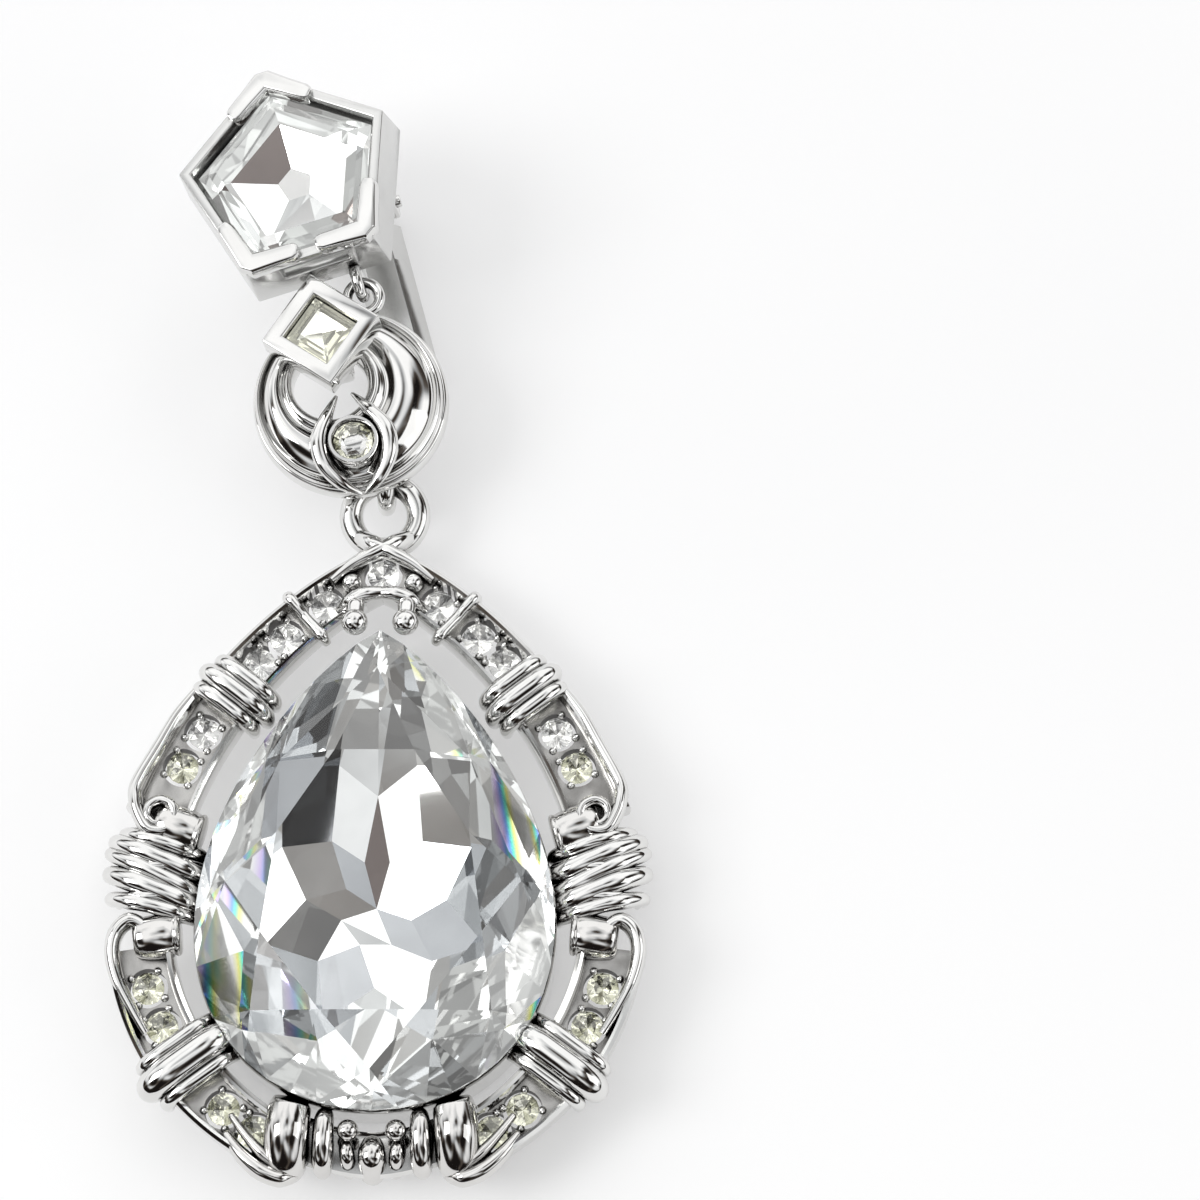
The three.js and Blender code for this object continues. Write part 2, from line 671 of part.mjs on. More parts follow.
// Square setting with its bail and hook, its back at z = 0, one corner up.
function squareSolid() {
  const box = solid(block(SQUARE_SIDE, SQUARE_SIDE, SQUARE_DEPTH), place(0, 0, 0, 0, 0, 45));
  const recess = solid(
    block(SQUARE_OPENING, SQUARE_OPENING, SQUARE_DEPTH),
    place(0, 0, SQUARE_DEPTH - SQUARE_STONE_DEPTH - 0.2, 0, 0, 45),
  );
  const { halfLength, halfHeight } = bailHole();
  const strap = new THREE.Shape();
  strap.absellipse(0, 0, halfLength + BAIL_WALL, halfHeight + BAIL_WALL, 0, 2 * Math.PI);
  const hole = new THREE.Path();
  hole.absellipse(0, 0, halfLength, halfHeight, 0, 2 * Math.PI);
  strap.holes.push(hole);
  const band = new THREE.ExtrudeGeometry(strap, {
    depth: BAIL_WIDTH,
    bevelEnabled: false,
    curveSegments: 9,
  }).translate(0, 0, -BAIL_WIDTH / 2);
  const bailTurn = onEdge().setPosition(BAIL_X, BAIL_Y, BAIL_SINK - BAIL_WALL - halfHeight);
  const hook = new THREE.TorusGeometry(HOOK_RADIUS, HOOK_WIRE, 6, 12);
  const { x, y, z } = hookMiddle();
  return joined([
    box.subtract(recess),
    solid(band, bailTurn),
    solid(hook, place(x, y, z)),
  ]);
}

// Clear hole of the bail: half its length along the chain and half its height.
function bailHole() {
  return { halfLength: BAIL_HOLE / 2, halfHeight: (RING_THICKNESS + BAIL_PLAY) / 2 };
}

function squareMatrix() {
  const ringBack = LOOP_Z + LOOP_WIRE + RING_BACK_ABOVE_LOOP;
  const back = ringBack + RING_THICKNESS + SQUARE_ABOVE_RING;
  const x = RING_PLACE.x + SQUARE_PLACE.x;
  const y = loopY() + LOOP_RADIUS + RING_PLACE.above + SQUARE_PLACE.above;
  return place(x, y, back, 0, -SQUARE_PLACE.roll, SQUARE_PLACE.turn);
}

// Middle of the hook beside the square, at the height where the lug hangs in it.
function hookMiddle() {
  const square = squareMatrix();
  const lugHeight = lugBottom().applyMatrix4(topTurn()).z;
  const foot = new THREE.Vector3(HOOK_PLACE.x, HOOK_PLACE.above, 0).applyMatrix4(square);
  const upright = new THREE.Vector3(0, 0, 1).transformDirection(square);
  return new THREE.Vector3(HOOK_PLACE.x, HOOK_PLACE.above, (lugHeight - foot.z) / upright.z);
}

// Chevron claw over one corner of the five-sided rim, its bars along the two walls there.
function claw(angle) {
  const bendToWall = 90 + 180 / 5;
  const corner = BEZEL_RADIUS - CLAW_WIDTH / 2 / Math.cos(Math.PI / 5);
  const turn = THREE.MathUtils.degToRad(angle);
  const arms = [bendToWall, -bendToWall].map((bend) => {
    const heading = THREE.MathUtils.degToRad(angle + bend);
    const x = corner * Math.cos(turn) + (CLAW_LENGTH / 2) * Math.cos(heading);
    const y = corner * Math.sin(turn) + (CLAW_LENGTH / 2) * Math.sin(heading);
    const z = BEZEL_DEPTH + CLAW_RISE - CLAW_THICKNESS;
    return solid(stadium(CLAW_LENGTH, CLAW_WIDTH, CLAW_THICKNESS), place(x, y, z, 0, 0, angle + bend));
  });
  return joined(arms);
}

// Bezel, claws, back, yoke and lug of the top station. Back of the bezel at z = 0.
function topSolid() {
  const upright = 180;
  const wall = solid(
    prism(5, BEZEL_RADIUS + BEZEL_FLARE, BEZEL_RADIUS, BEZEL_DEPTH),
    place(0, 0, 0, 0, 0, upright),
  );
  const cavity = solid(
    prism(5, cavityRadius(), cavityRadius(), BEZEL_DEPTH),
    place(0, 0, BEZEL_FLOOR, 0, 0, upright),
  );
  const window = solid(
    block(WINDOW_WIDTH, 3, WINDOW_HEIGHT),
    place(0, -BEZEL_RADIUS * Math.cos(Math.PI / 5), BEZEL_DEPTH - WINDOW_HEIGHT - WINDOW_BAR),
  );
  const lug = new THREE.TorusGeometry(LUG_RADIUS, HOOK_WIRE, 6, 12);
  return joined([
    wall.subtract(cavity).subtract(window),
    ...CLAW_CORNERS.map(claw),
    solid(lug, place(LUG_X, lugY(), LUG_Z, 0, 90, 0)),
    yoke(),
  ]);
}

// Middle of the lug below the lower wall of the setting.
function lugY() {
  return -(BEZEL_RADIUS + BEZEL_FLARE) * Math.cos(Math.PI / 5) - LUG_RADIUS + 0.05;
}

// Place below the lug that the middle of the hook takes.
function lugBottom() {
  return new THREE.Vector3(LUG_X, lugY() - HOOK_RADIUS, LUG_Z);
}

// Distance of the hinge pin's axis from the setting's back.
function pinDepth() {
  return EAR_GAP + KNUCKLE_RADIUS;
}

// Distance from the middle of the five-sided cup to a corner of its cavity.
function cavityRadius() {
  return BEZEL_RADIUS - BEZEL_WALL / Math.cos(Math.PI / 5);
}

// Top station turned and rolled, and raised so that its clip just clears the surface below.
function topTurn() {
  const depth = EAR_GAP + Math.max(2 * KNUCKLE_RADIUS, LEVER_HEEL_DEPTH);
  const lowSide = YOKE_INNER_WIDTH / 2 + YOKE_PLATE - CLIP_X;
  const roll = THREE.MathUtils.degToRad(TOP_PLACE.roll);
  const back = depth * Math.cos(roll) + lowSide * Math.sin(roll) + FLOOR_CLEARANCE;
  return place(0, 0, back, 0, -TOP_PLACE.roll, TOP_PLACE.turn);
}

// Place of the top station, moved to where the hook holds its lug.
function topMatrix() {
  const top = topTurn();
  const lug = lugBottom().applyMatrix4(top);
  const hook = hookMiddle().applyMatrix4(squareMatrix());
  return new THREE.Matrix4().makeTranslation(hook.x - lug.x, hook.y - lug.y, 0).multiply(top);
}

function yoke() {
  const outline = new THREE.Shape();
  const depth = pinDepth();
  outline.moveTo(HINGE_Y + 0.6, 0.3);
  outline.lineTo(HINGE_Y - KNUCKLE_RADIUS, -depth);
  outline.absarc(HINGE_Y, -depth, KNUCKLE_RADIUS, Math.PI, 2 * Math.PI, false);
  outline.lineTo(HINGE_Y + YOKE_HEIGHT, 0.3);
  const cheek = new THREE.ExtrudeGeometry(outline, {
    depth: YOKE_PLATE,
    bevelEnabled: false,
    curveSegments: 6,
  });
  const bore = new THREE.CylinderGeometry(
    PIN_RADIUS + PIN_CLEARANCE,
    PIN_RADIUS + PIN_CLEARANCE,
    3 * YOKE_INNER_WIDTH,
    10,
  ).rotateZ(Math.PI / 2);
  const cheeks = [-YOKE_INNER_WIDTH / 2 - YOKE_PLATE, YOKE_INNER_WIDTH / 2].map((x) =>
    solid(cheek, onEdge().setPosition(CLIP_X + x, 0, 0)),
  );
  const plate = block(YOKE_INNER_WIDTH + 2 * YOKE_PLATE, YOKE_HEIGHT, YOKE_PLATE + 0.2);
  return joined([
    ...cheeks,
    solid(plate, place(CLIP_X, HINGE_Y + YOKE_HEIGHT / 2 + 0.3, -YOKE_PLATE)),
  ]).subtract(solid(bore, place(CLIP_X, HINGE_Y, -depth)));
}

function pinSolid() {
  const length = YOKE_INNER_WIDTH + 2 * YOKE_PLATE + 0.3;
  const rod = new THREE.CylinderGeometry(PIN_RADIUS, PIN_RADIUS, length, 10).rotateZ(Math.PI / 2);
  return solid(rod, place(CLIP_X, HINGE_Y, -pinDepth()));
}

// Lever of the ear clip, its pin axis at the origin, its front face towards +Z.
function leverSolid() {
  const front = KNUCKLE_RADIUS;
  const knuckleWidth = YOKE_INNER_WIDTH - 2 * PIN_CLEARANCE;
  const knuckle = new THREE.CylinderGeometry(
    KNUCKLE_RADIUS,
    KNUCKLE_RADIUS,
    knuckleWidth,
    12,
  ).rotateZ(Math.PI / 2);
  const heel = -KNUCKLE_RADIUS - LEVER_HEEL_GAP;
  const tongue = block(knuckleWidth, TONGUE_RISE + TONGUE_LAP - heel, LEVER_PLATE);
  const side = new THREE.Shape();
  side.moveTo(heel, front);
  side.lineTo(heel - LEVER_LENGTH, front);
  side.lineTo(heel - LEVER_LENGTH, front - LEVER_TOE_DEPTH);
  side.lineTo(heel, front - LEVER_HEEL_DEPTH);
  const channel = new THREE.ExtrudeGeometry(side, { depth: LEVER_WIDTH, bevelEnabled: false });
  const overrun = 2;
  const hollow = block(LEVER_WIDTH - 2 * LEVER_SIDE, LEVER_LENGTH + overrun, LEVER_HEEL_DEPTH);
  const hollowY = heel - LEVER_SIDE - (LEVER_LENGTH + overrun) / 2;
  const tip = new THREE.CylinderGeometry(
    LEVER_TIP_RADIUS,
    LEVER_TIP_RADIUS,
    LEVER_WIDTH - LEVER_SIDE,
    10,
  ).rotateZ(Math.PI / 2);
  const bore = new THREE.CylinderGeometry(
    PIN_RADIUS + PIN_CLEARANCE,
    PIN_RADIUS + PIN_CLEARANCE,
    2 * LEVER_WIDTH,
    10,
  ).rotateZ(Math.PI / 2);
  const tongueY = (TONGUE_RISE - TONGUE_LAP + heel) / 2;
  return joined([
    solid(channel, onEdge().setPosition(-LEVER_WIDTH / 2, 0, 0)).subtract(
      solid(hollow, place(0, hollowY, front - LEVER_PLATE - LEVER_HEEL_DEPTH)),
    ),
    solid(knuckle),
    solid(tongue, place(0, tongueY, front - LEVER_PLATE)),
    solid(tip, place(0, heel - LEVER_LENGTH - LEVER_SIDE / 2, front - LEVER_TIP_RADIUS)),
  ]).subtract(solid(bore));
}

// Builds the drop: the frame and its stones.
function drop() {
  const group = new THREE.Group();
  group.add(piece("drop_frame", frameSolid(), METAL_LOOK));
  group.add(piece("pear_stone", pearStoneSolid(0), STONE_LOOK));
  const girdleZ = ARM_FLOOR_Z - 0.05;
  const stone = solid(roundStone(ROUND_DIAMETER, ROUND_CROWN, ROUND_PAVILION, ROUND_GIRDLE, 10));
  stoneSpots().forEach((spot, i) => {
    const mesh = piece(`frame_stone_${String(i + 1).padStart(2, "0")}`, stone, STONE_LOOK);
    mesh.position.set(spot.x, spot.y, girdleZ);
    group.add(mesh);
  });
  return group;
}

function crescentRing() {
  const group = new THREE.Group();
  group.add(piece("crescent_ring", ringSolid(), METAL_LOOK));
  const stone = roundStone(
    COLLET_STONE_DIAMETER,
    COLLET_STONE_CROWN,
    COLLET_STONE_PAVILION,
    ROUND_GIRDLE,
    12,
  );
  const mesh = piece("collet_stone", solid(stone), STONE_LOOK);
  mesh.position.set(COLLET_X, COLLET_Y, RING_THICKNESS + COLLET_HEIGHT - COLLET_STONE_SINK);
  group.add(mesh);
  group.applyMatrix4(ringMatrix());
  return group;
}

function squareStation() {
  const group = new THREE.Group();
  group.add(piece("bail_setting", squareSolid(), METAL_LOOK));
  const radius = SQUARE_STONE_SIDE / Math.SQRT2;
  const stone = stepStone(
    4,
    radius,
    SQUARE_STONE_CROWN,
    SQUARE_STONE_PAVILION,
    SQUARE_STONE_GIRDLE,
    SQUARE_TABLE_SHARE,
  );
  const mesh = piece("square_stone", solid(stone), STONE_LOOK);
  mesh.position.z = SQUARE_DEPTH - SQUARE_STONE_SINK;
  group.add(mesh);
  group.applyMatrix4(squareMatrix());
  return group;
}

function topStation() {
  const group = new THREE.Group();
  group.add(piece("top_setting", topSolid(), METAL_LOOK));
  const pavilion = BEZEL_DEPTH - CLAW_THICKNESS - BEZEL_FLOOR - PENTAGON_GIRDLE;
  const stone = stepStone(
    5,
    cavityRadius() - PENTAGON_STONE_GAP,
    PENTAGON_CROWN,
    pavilion,
    PENTAGON_GIRDLE,
    PENTAGON_TABLE_SHARE,
  );
  const mesh = piece("pentagon_stone", solid(stone), STONE_LOOK);
  mesh.rotation.z = Math.PI;
  mesh.position.z = BEZEL_DEPTH + CLAW_RISE - CLAW_THICKNESS - PENTAGON_SINK;
  group.add(mesh);
  group.add(piece("clip_pin", pinSolid(), METAL_LOOK));
  const lever = piece("clip_lever", leverSolid(), METAL_LOOK);
  lever.position.set(CLIP_X, HINGE_Y, -pinDepth());
  lever.rotation.x = Math.atan2(LEVER_HEEL_DEPTH - LEVER_TOE_DEPTH, LEVER_LENGTH);
  group.add(lever);
  group.applyMatrix4(topMatrix());
  return group;
}

const earring = new THREE.Group();
earring.add(drop(), crescentRing(), squareStation(), topStation());

// The origin is below the middle of the whole earring, on the surface that it lies on.
const extent = new THREE.Box3().setFromObject(earring, true);
const middle = extent.getCenter(new THREE.Vector3());
earring.position.set(-middle.x, -middle.y, -extent.min.z);

export default earring;
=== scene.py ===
import math
import bpy
from mathutils import Matrix, Vector


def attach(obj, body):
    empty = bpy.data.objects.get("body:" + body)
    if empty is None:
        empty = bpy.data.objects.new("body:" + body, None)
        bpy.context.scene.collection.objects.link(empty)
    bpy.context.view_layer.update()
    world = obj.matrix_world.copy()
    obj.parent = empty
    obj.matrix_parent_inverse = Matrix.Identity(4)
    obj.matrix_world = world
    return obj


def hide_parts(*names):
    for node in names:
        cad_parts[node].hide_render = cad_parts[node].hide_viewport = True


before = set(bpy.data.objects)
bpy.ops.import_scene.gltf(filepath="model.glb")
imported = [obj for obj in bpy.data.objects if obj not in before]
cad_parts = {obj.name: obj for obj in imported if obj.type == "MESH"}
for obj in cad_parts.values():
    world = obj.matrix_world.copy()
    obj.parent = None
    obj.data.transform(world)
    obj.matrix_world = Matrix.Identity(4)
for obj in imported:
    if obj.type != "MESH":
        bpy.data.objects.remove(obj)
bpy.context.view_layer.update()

# Gallery: a plain wall that stands round the pear stone and holds its girdle, cast in one with the frame
# of white metal and plated with bright rhodium. The plating is a little wavy from the casting and the
# polishing wheel, with painted shade that darkens it in the crevices, and a faint bloom where the polish has
# worn.


class Field:
    """A number that varies over a surface, as the output of a node."""

    def __init__(self, tree, socket):
        self.tree = tree
        self.socket = socket

    def math(self, operation, first, second):
        node = self.tree.nodes.new("ShaderNodeMath")
        node.operation = operation
        for slot, value in zip(node.inputs, (first, second)):
            if isinstance(value, Field):
                self.tree.links.new(value.socket, slot)
            else:
                slot.default_value = value
        return Field(self.tree, node.outputs[0])

    def __add__(self, other):
        return self.math("ADD", self, other)

    def __radd__(self, other):
        return self.math("ADD", other, self)

    def __mul__(self, other):
        return self.math("MULTIPLY", self, other)

    def __rmul__(self, other):
        return self.math("MULTIPLY", other, self)


class Finish:
    """The node tree of one finish, which the nodes are put into."""

    def __init__(self, owner):
        owner.use_nodes = True
        self.tree = owner.node_tree
        self.tree.nodes.clear()

    def node(self, kind, settings=None, output=0, **values):
        node = self.tree.nodes.new(kind)
        for key, setting in (settings or {}).items():
            if key == "stops":
                ramp = node.color_ramp
                while len(ramp.elements) < len(setting):
                    ramp.elements.new(0.5)
                for stop, (place, colour) in zip(ramp.elements, setting):
                    stop.position, stop.color = place, (*colour, 1)
            else:
                setattr(node, key, setting)
        for key, value in values.items():
            name = key.replace("_", " ")
            socket = node.inputs[name] if name in node.inputs else node.inputs[int(key[1:])]
            if isinstance(value, Field):
                self.tree.links.new(value.socket, socket)
            else:
                socket.default_value = value
        return Field(self.tree, node.outputs[output]) if node.outputs else None


def plating(name, colour, roughness, wave):
    material = bpy.data.materials.new(name)
    look = Finish(material)
    place = look.node("ShaderNodeTexCoord", output=3)
    bloom = look.node("ShaderNodeTexNoise", Vector=place, Scale=420.0, Detail=4.0)
    grain = look.node("ShaderNodeTexNoise", Vector=place, Scale=2600.0, Detail=2.0)
    casting = look.node("ShaderNodeTexNoise", Vector=place, Scale=330.0, Detail=1.5)
    tint = look.node(
        "ShaderNodeValToRGB",
        {"stops": [(0.3, tuple(c * 0.93 for c in colour)), (0.65, colour)]},
        Fac=bloom,
    )
    relief = look.node(
        "ShaderNodeBump", Strength=wave, Distance=0.0004, Height=casting + grain * 0.01
    )
    # Painted shade: the occlusion darkens the base colour towards near black in crevices and between parts.
    open_sky = look.node("ShaderNodeAmbientOcclusion", {"samples": 6}, output=1, Distance=0.0009)
    painted_crevice_shade = look.node(
        "ShaderNodeValToRGB", {"stops": [(0.3, (0.05, 0.045, 0.04)), (0.62, (1.0, 1.0, 1.0))]},
        Fac=open_sky,
    )
    tint = look.node(
        "ShaderNodeMix", {"data_type": "RGBA", "blend_type": "MULTIPLY"}, output=2,
        _0=1.0, _6=tint, _7=painted_crevice_shade,
    )
    surface = look.node(
        "ShaderNodeBsdfPrincipled",
        Base_Color=tint,
        Metallic=1.0,
        Roughness=bloom * 0.08 + (roughness - 0.03),
        Normal=relief,
    )
    look.node("ShaderNodeOutputMaterial", Surface=surface)
    return material


BRIGHT = plating("bright plating", (0.78, 0.777, 0.765), 0.06, 0.1)

MM = 0.001
DROP_Y = -14.6613  # the middle of the drop, in millimetres along the row of settings


def in_row_frame(point):
    """Metres in the row frame, from millimetres about the middle of the drop."""
    return Vector((point[0] * MM, (point[1] + DROP_Y) * MM, point[2] * MM))


def start_clean():
    if bpy.context.object and bpy.context.object.mode != "OBJECT":
        bpy.ops.object.mode_set(mode="OBJECT")
    bpy.ops.object.select_all(action="DESELECT")


def skin(name, sections, looped=False):
    """Closed sheet of metal drawn over equal closed sections, with its ends filled."""
    start_clean()
    columns = len(sections[0])
    rows = len(sections) + looped
    bpy.ops.mesh.primitive_grid_add(x_subdivisions=columns, y_subdivisions=rows - 1)
    made = bpy.context.object
    made.name = made.data.name = name
    for row in range(rows):
        section = sections[row % len(sections)]
        for column in range(columns + 1):
            vertex = made.data.vertices[row * (columns + 1) + column]
            vertex.co = in_row_frame(section[column % columns])
    bpy.ops.object.mode_set(mode="EDIT")
    bpy.ops.mesh.select_all(action="SELECT")
    bpy.ops.mesh.remove_doubles(threshold=1e-7)
    if not looped:
        bpy.ops.mesh.fill_holes(sides=0)
    bpy.ops.mesh.select_all(action="SELECT")
    bpy.ops.mesh.normals_make_consistent(inside=False)
    bpy.ops.object.mode_set(mode="OBJECT")
    return made


def finish_metal(made, node, material=None, body="earring", levels=0, angle=40, bevel=0.0):
    """Rounds and smooths a piece of metal, plates it and hangs it on its body."""
    start_clean()
    made.select_set(True)
    bpy.context.view_layer.objects.active = made
    if bevel:
        rounding = made.modifiers.new("edges", "BEVEL")
        rounding.width = bevel * MM
        rounding.segments = 3
        rounding.limit_method = "ANGLE"
        bpy.ops.object.modifier_apply(modifier="edges")
    if levels:
        smooth = made.modifiers.new("smooth", "SUBSURF")
        smooth.levels = smooth.render_levels = levels
        bpy.ops.object.modifier_apply(modifier="smooth")
    bpy.ops.object.shade_smooth_by_angle(angle=math.radians(angle))
    made.data.materials.clear()
    made.data.materials.append(material or BRIGHT)
    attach(made, body)
    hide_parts(node)
    return made


def pear_point(t, width, length, centre_y, tip_power, side_power=1.0):
    """Point of half a pear outline, from the tip at t = 0, down the right side, to t = 1."""
    angle = math.pi * t
    bulge = math.sin(angle) ** side_power * math.sin(angle / 2) ** tip_power
    widest = max(
        math.sin(math.pi * i / 180) ** side_power * math.sin(math.pi * i / 360) ** tip_power
        for i in range(181)
    )
    return Vector((width / 2 * bulge / widest, centre_y + length / 2 * math.cos(angle), 0))


def even_points(outline, count):
    """Evenly spaced points of half an outline, with its outward directions."""
    fine = [outline(i / 400) for i in range(401)]
    runs = [0.0]
    for a, b in zip(fine, fine[1:]):
        runs.append(runs[-1] + (b - a).length)
    places = []
    for k in range(count + 1):
        goal = runs[-1] * k / count
        i = max(1, next((i for i, run in enumerate(runs) if run >= goal), 400))
        share = (goal - runs[i - 1]) / (runs[i] - runs[i - 1])
        tangent = (fine[i] - fine[i - 1]).normalized()
        places.append((fine[i - 1].lerp(fine[i], share), Vector((-tangent.y, tangent.x, 0))))
    return places


PEAR_WIDTH, PEAR_LENGTH, PEAR_Y = 22, 30, -0.85
PEAR_STEPS = 48


def pear_outline(t):
    return pear_point(t, PEAR_WIDTH, PEAR_LENGTH, PEAR_Y, 0.65)


pear_half = even_points(pear_outline, PEAR_STEPS)
pear_round = pear_half + [
    (Vector((-p.x, p.y, 0)), Vector((-n.x, n.y, 0))) for p, n in reversed(pear_half[1:-1])
]
pear_round[0] = (pear_round[0][0], Vector((0, 1, 0)))
pear_round[PEAR_STEPS] = (pear_round[PEAR_STEPS][0], Vector((0, -1, 0)))
GALLERY_PROFILE = [
    (-0.45, 0.1), (-0.1, 0.0), (0.05, 0.15), (0.1, 1.5), (0.12, 4.2), (0.1, 4.9), (0.0, 5.1),
    (-0.1, 5.0), (-0.2, 4.6), (-0.45, 4.3),
]
gallery = skin(
    "gallery",
    [[p + n * grow + Vector((0, 0, z)) for grow, z in GALLERY_PROFILE] for p, n in pear_round],
    looped=True,
)
finish_metal(gallery, "drop_frame")

# Channel arms: cast metal troughs in two bows on each side, whose raised walls fence the round stones.
# Their floors are left matt from the casting and their colour is darker as painted shade in the trough, and
# each stone's seat is drilled into them, its wall painted near black as painted shadow.
COURSE_WIDTH, COURSE_LENGTH, COURSE_Y = 29.2, 37.7, -0.45
COURSE_STEPS = 600


def course(t):
    return pear_point(t, COURSE_WIDTH, COURSE_LENGTH, COURSE_Y, 0.43, 1.15)


course_half = even_points(course, COURSE_STEPS)
ARM_STEPS = 20
ARM_FLOOR = 3.5
SEAT_RADIUS, SEAT_DEPTH = 1.22, 1.25
ARMS = [
    ("arm_top", 0.0, 0.235, 3.1, 3.5),
    ("arm_upper", 0.225, 0.42, 3.7, 4.1),
    ("arm_lower", 0.58, 0.735, 4.0, 4.0),
    ("arm_foot", 0.735, 0.9, 3.8, 3.3),
]
STONE_SHARES = [0.08, 0.145, 0.19, 0.3, 0.35, 0.63, 0.68, 0.805, 0.85]


def on_course(share, across=0.0, back=0.0, z=0.0):
    """Point beside the course: across outwards, back towards the tip along its tangent."""
    place, out = course_half[round(share * COURSE_STEPS)]
    ahead = Vector((out.y, -out.x, 0))
    return place + out * across - ahead * back + Vector((0, 0, z))


def channel_section(share, half):
    rim = [
        (-0.1, 2.3), (0.0, 2.5), (0.06, 3.0), (0.05, 4.1), (-0.03, 4.5), (-0.24, 4.68), (-0.42, 4.55),
        (-0.5, 4.1), (-0.53, ARM_FLOOR + 0.1), (-0.58, ARM_FLOOR),
    ]
    outer = [(half + grow, z) for grow, z in rim]
    inner = [(-across, z) for across, z in reversed(outer)]
    return [on_course(share, across, 0, z) for across, z in outer + inner]


def shadowed_seat(name):
    """Unpolished metal inside a drilled seat, painted near black as painted shadow in the gap round the
    stone.
    """
    material = bpy.data.materials.new(name)
    look = Finish(material)
    place = look.node("ShaderNodeTexCoord", output=3)
    pits = look.node("ShaderNodeTexNoise", Vector=place, Scale=3000.0, Detail=2.0)
    surface = look.node(
        "ShaderNodeBsdfPrincipled", Metallic=1.0, Roughness=pits * 0.2 + 0.35,
        Base_Color=look.node(
            "ShaderNodeValToRGB",
            {"stops": [(0.4, (0.015, 0.013, 0.012)), (0.6, (0.05, 0.045, 0.04))]}, Fac=pits,
        ),
    )
    look.node("ShaderNodeOutputMaterial", Surface=surface)
    return material


SEAT_SHADOW = shadowed_seat("seat wall, painted shadow")
# Rougher for the matt casting; its darker colour is painted shade in the trough between the walls.
CHANNEL_FLOOR = plating("channel floor", (0.62, 0.61, 0.59), 0.22, 0.6)


def drill_seats(made, spots):
    """Cuts the seats of the round stones into the floor of an arm."""
    for spot in spots:
        start_clean()
        bpy.ops.mesh.primitive_cylinder_add(
            vertices=28, radius=SEAT_RADIUS * MM, depth=3 * MM,
            location=in_row_frame(spot + Vector((0, 0, ARM_FLOOR - SEAT_DEPTH + 1.5))),
        )
        drill = bpy.context.object
        start_clean()
        made.select_set(True)
        bpy.context.view_layer.objects.active = made
        cut = made.modifiers.new("seat", "BOOLEAN")
        cut.operation = "DIFFERENCE"
        cut.object = drill
        bpy.ops.object.modifier_apply(modifier="seat")
        bpy.data.objects.remove(drill)


def across_the_drop(made):
    """The same piece on the other side of the drop."""
    start_clean()
    twin = made.copy()
    twin.data = made.data.copy()
    twin.name = twin.data.name = made.name + "_left"
    made.name = made.data.name = made.name + "_right"
    bpy.context.collection.objects.link(twin)
    for vertex in twin.data.vertices:
        vertex.co.x *= -1
    twin.select_set(True)
    bpy.context.view_layer.objects.active = twin
    bpy.ops.object.mode_set(mode="EDIT")
    bpy.ops.mesh.select_all(action="SELECT")
    bpy.ops.mesh.normals_make_consistent(inside=False)
    bpy.ops.object.mode_set(mode="OBJECT")
    return twin


for name, begin, end, wide_in, wide_out in ARMS:
    sections = []
    for i in range(ARM_STEPS + 1):
        t = i / ARM_STEPS
        sections.append(channel_section(begin + (end - begin) * t, (wide_in + (wide_out - wide_in) * t) / 2))
    channel = skin(name, sections)
    drill_seats(channel, [on_course(s) for s in [0.0] + STONE_SHARES if begin <= s <= end])
    twin = across_the_drop(channel)
    for side, one in ((1, channel), (-1, twin)):
        finish_metal(one, "drop_frame", angle=35)
        one.data.materials.append(SEAT_SHADOW)
        one.data.materials.append(CHANNEL_FLOOR)
        # Painted shade: flat floor faces take the darker channel floor plating, and faces inside each seat
        # take the near-black seat wall, a painted shadow round the stone.
        for face in one.data.polygons:
            if face.normal.z > 0.9 and face.center.z < (ARM_FLOOR + 0.1) * MM:
                face.material_index = 2
            for share in [0.0] + STONE_SHARES:
                spot = on_course(share)
                off = face.center - in_row_frame((side * spot.x, spot.y, 0))
                below = face.center.z < (ARM_FLOOR - 0.01) * MM
                if below and math.hypot(off.x, off.y) < (SEAT_RADIUS + 0.01) * MM:
                    face.material_index = 1

# Round stones of the frame: foiled glass chatons with a table and eight crown facets, pressed into
# the seats. The foil has yellowed behind the stones nearer the foot. Its glow is painted light, and the
# facets at three of eight bearings take a shaded foil as painted shade.
STONE_RADIUS = 1.0
STONE_Z = 3.42
AGED_BELOW_Y = 8


def glass(name, colour, ior):
    material = bpy.data.materials.new(name)
    look = Finish(material)
    surface = look.node(
        "ShaderNodeBsdfPrincipled", Base_Color=(*colour, 1), Roughness=0.0, IOR=ior,
        Transmission_Weight=1.0,
    )
    look.node("ShaderNodeOutputMaterial", Surface=surface)
    return material


def foil(name, colour, roughness, painted_glow=0.0):
    """Foil behind glass; it glows a little, as painted light that brightens the stone."""
    material = bpy.data.materials.new(name)
    look = Finish(material)
    place = look.node("ShaderNodeTexCoord", output=3)
    cloud = look.node("ShaderNodeTexNoise", Vector=place, Scale=240.0, Detail=2.0)
    tint = look.node(
        "ShaderNodeValToRGB",
        {"stops": [(0.35, tuple(c * 0.9 for c in colour)), (0.6, colour)]},
        Fac=cloud,
    )
    surface = look.node(
        "ShaderNodeBsdfPrincipled", Base_Color=tint, Metallic=1.0, Roughness=roughness,
        Emission_Color=tint, Emission_Strength=painted_glow,
    )
    look.node("ShaderNodeOutputMaterial", Surface=surface)
    return material


CLEAR = glass("clear crystal", (1.0, 1.0, 1.0), 1.54)
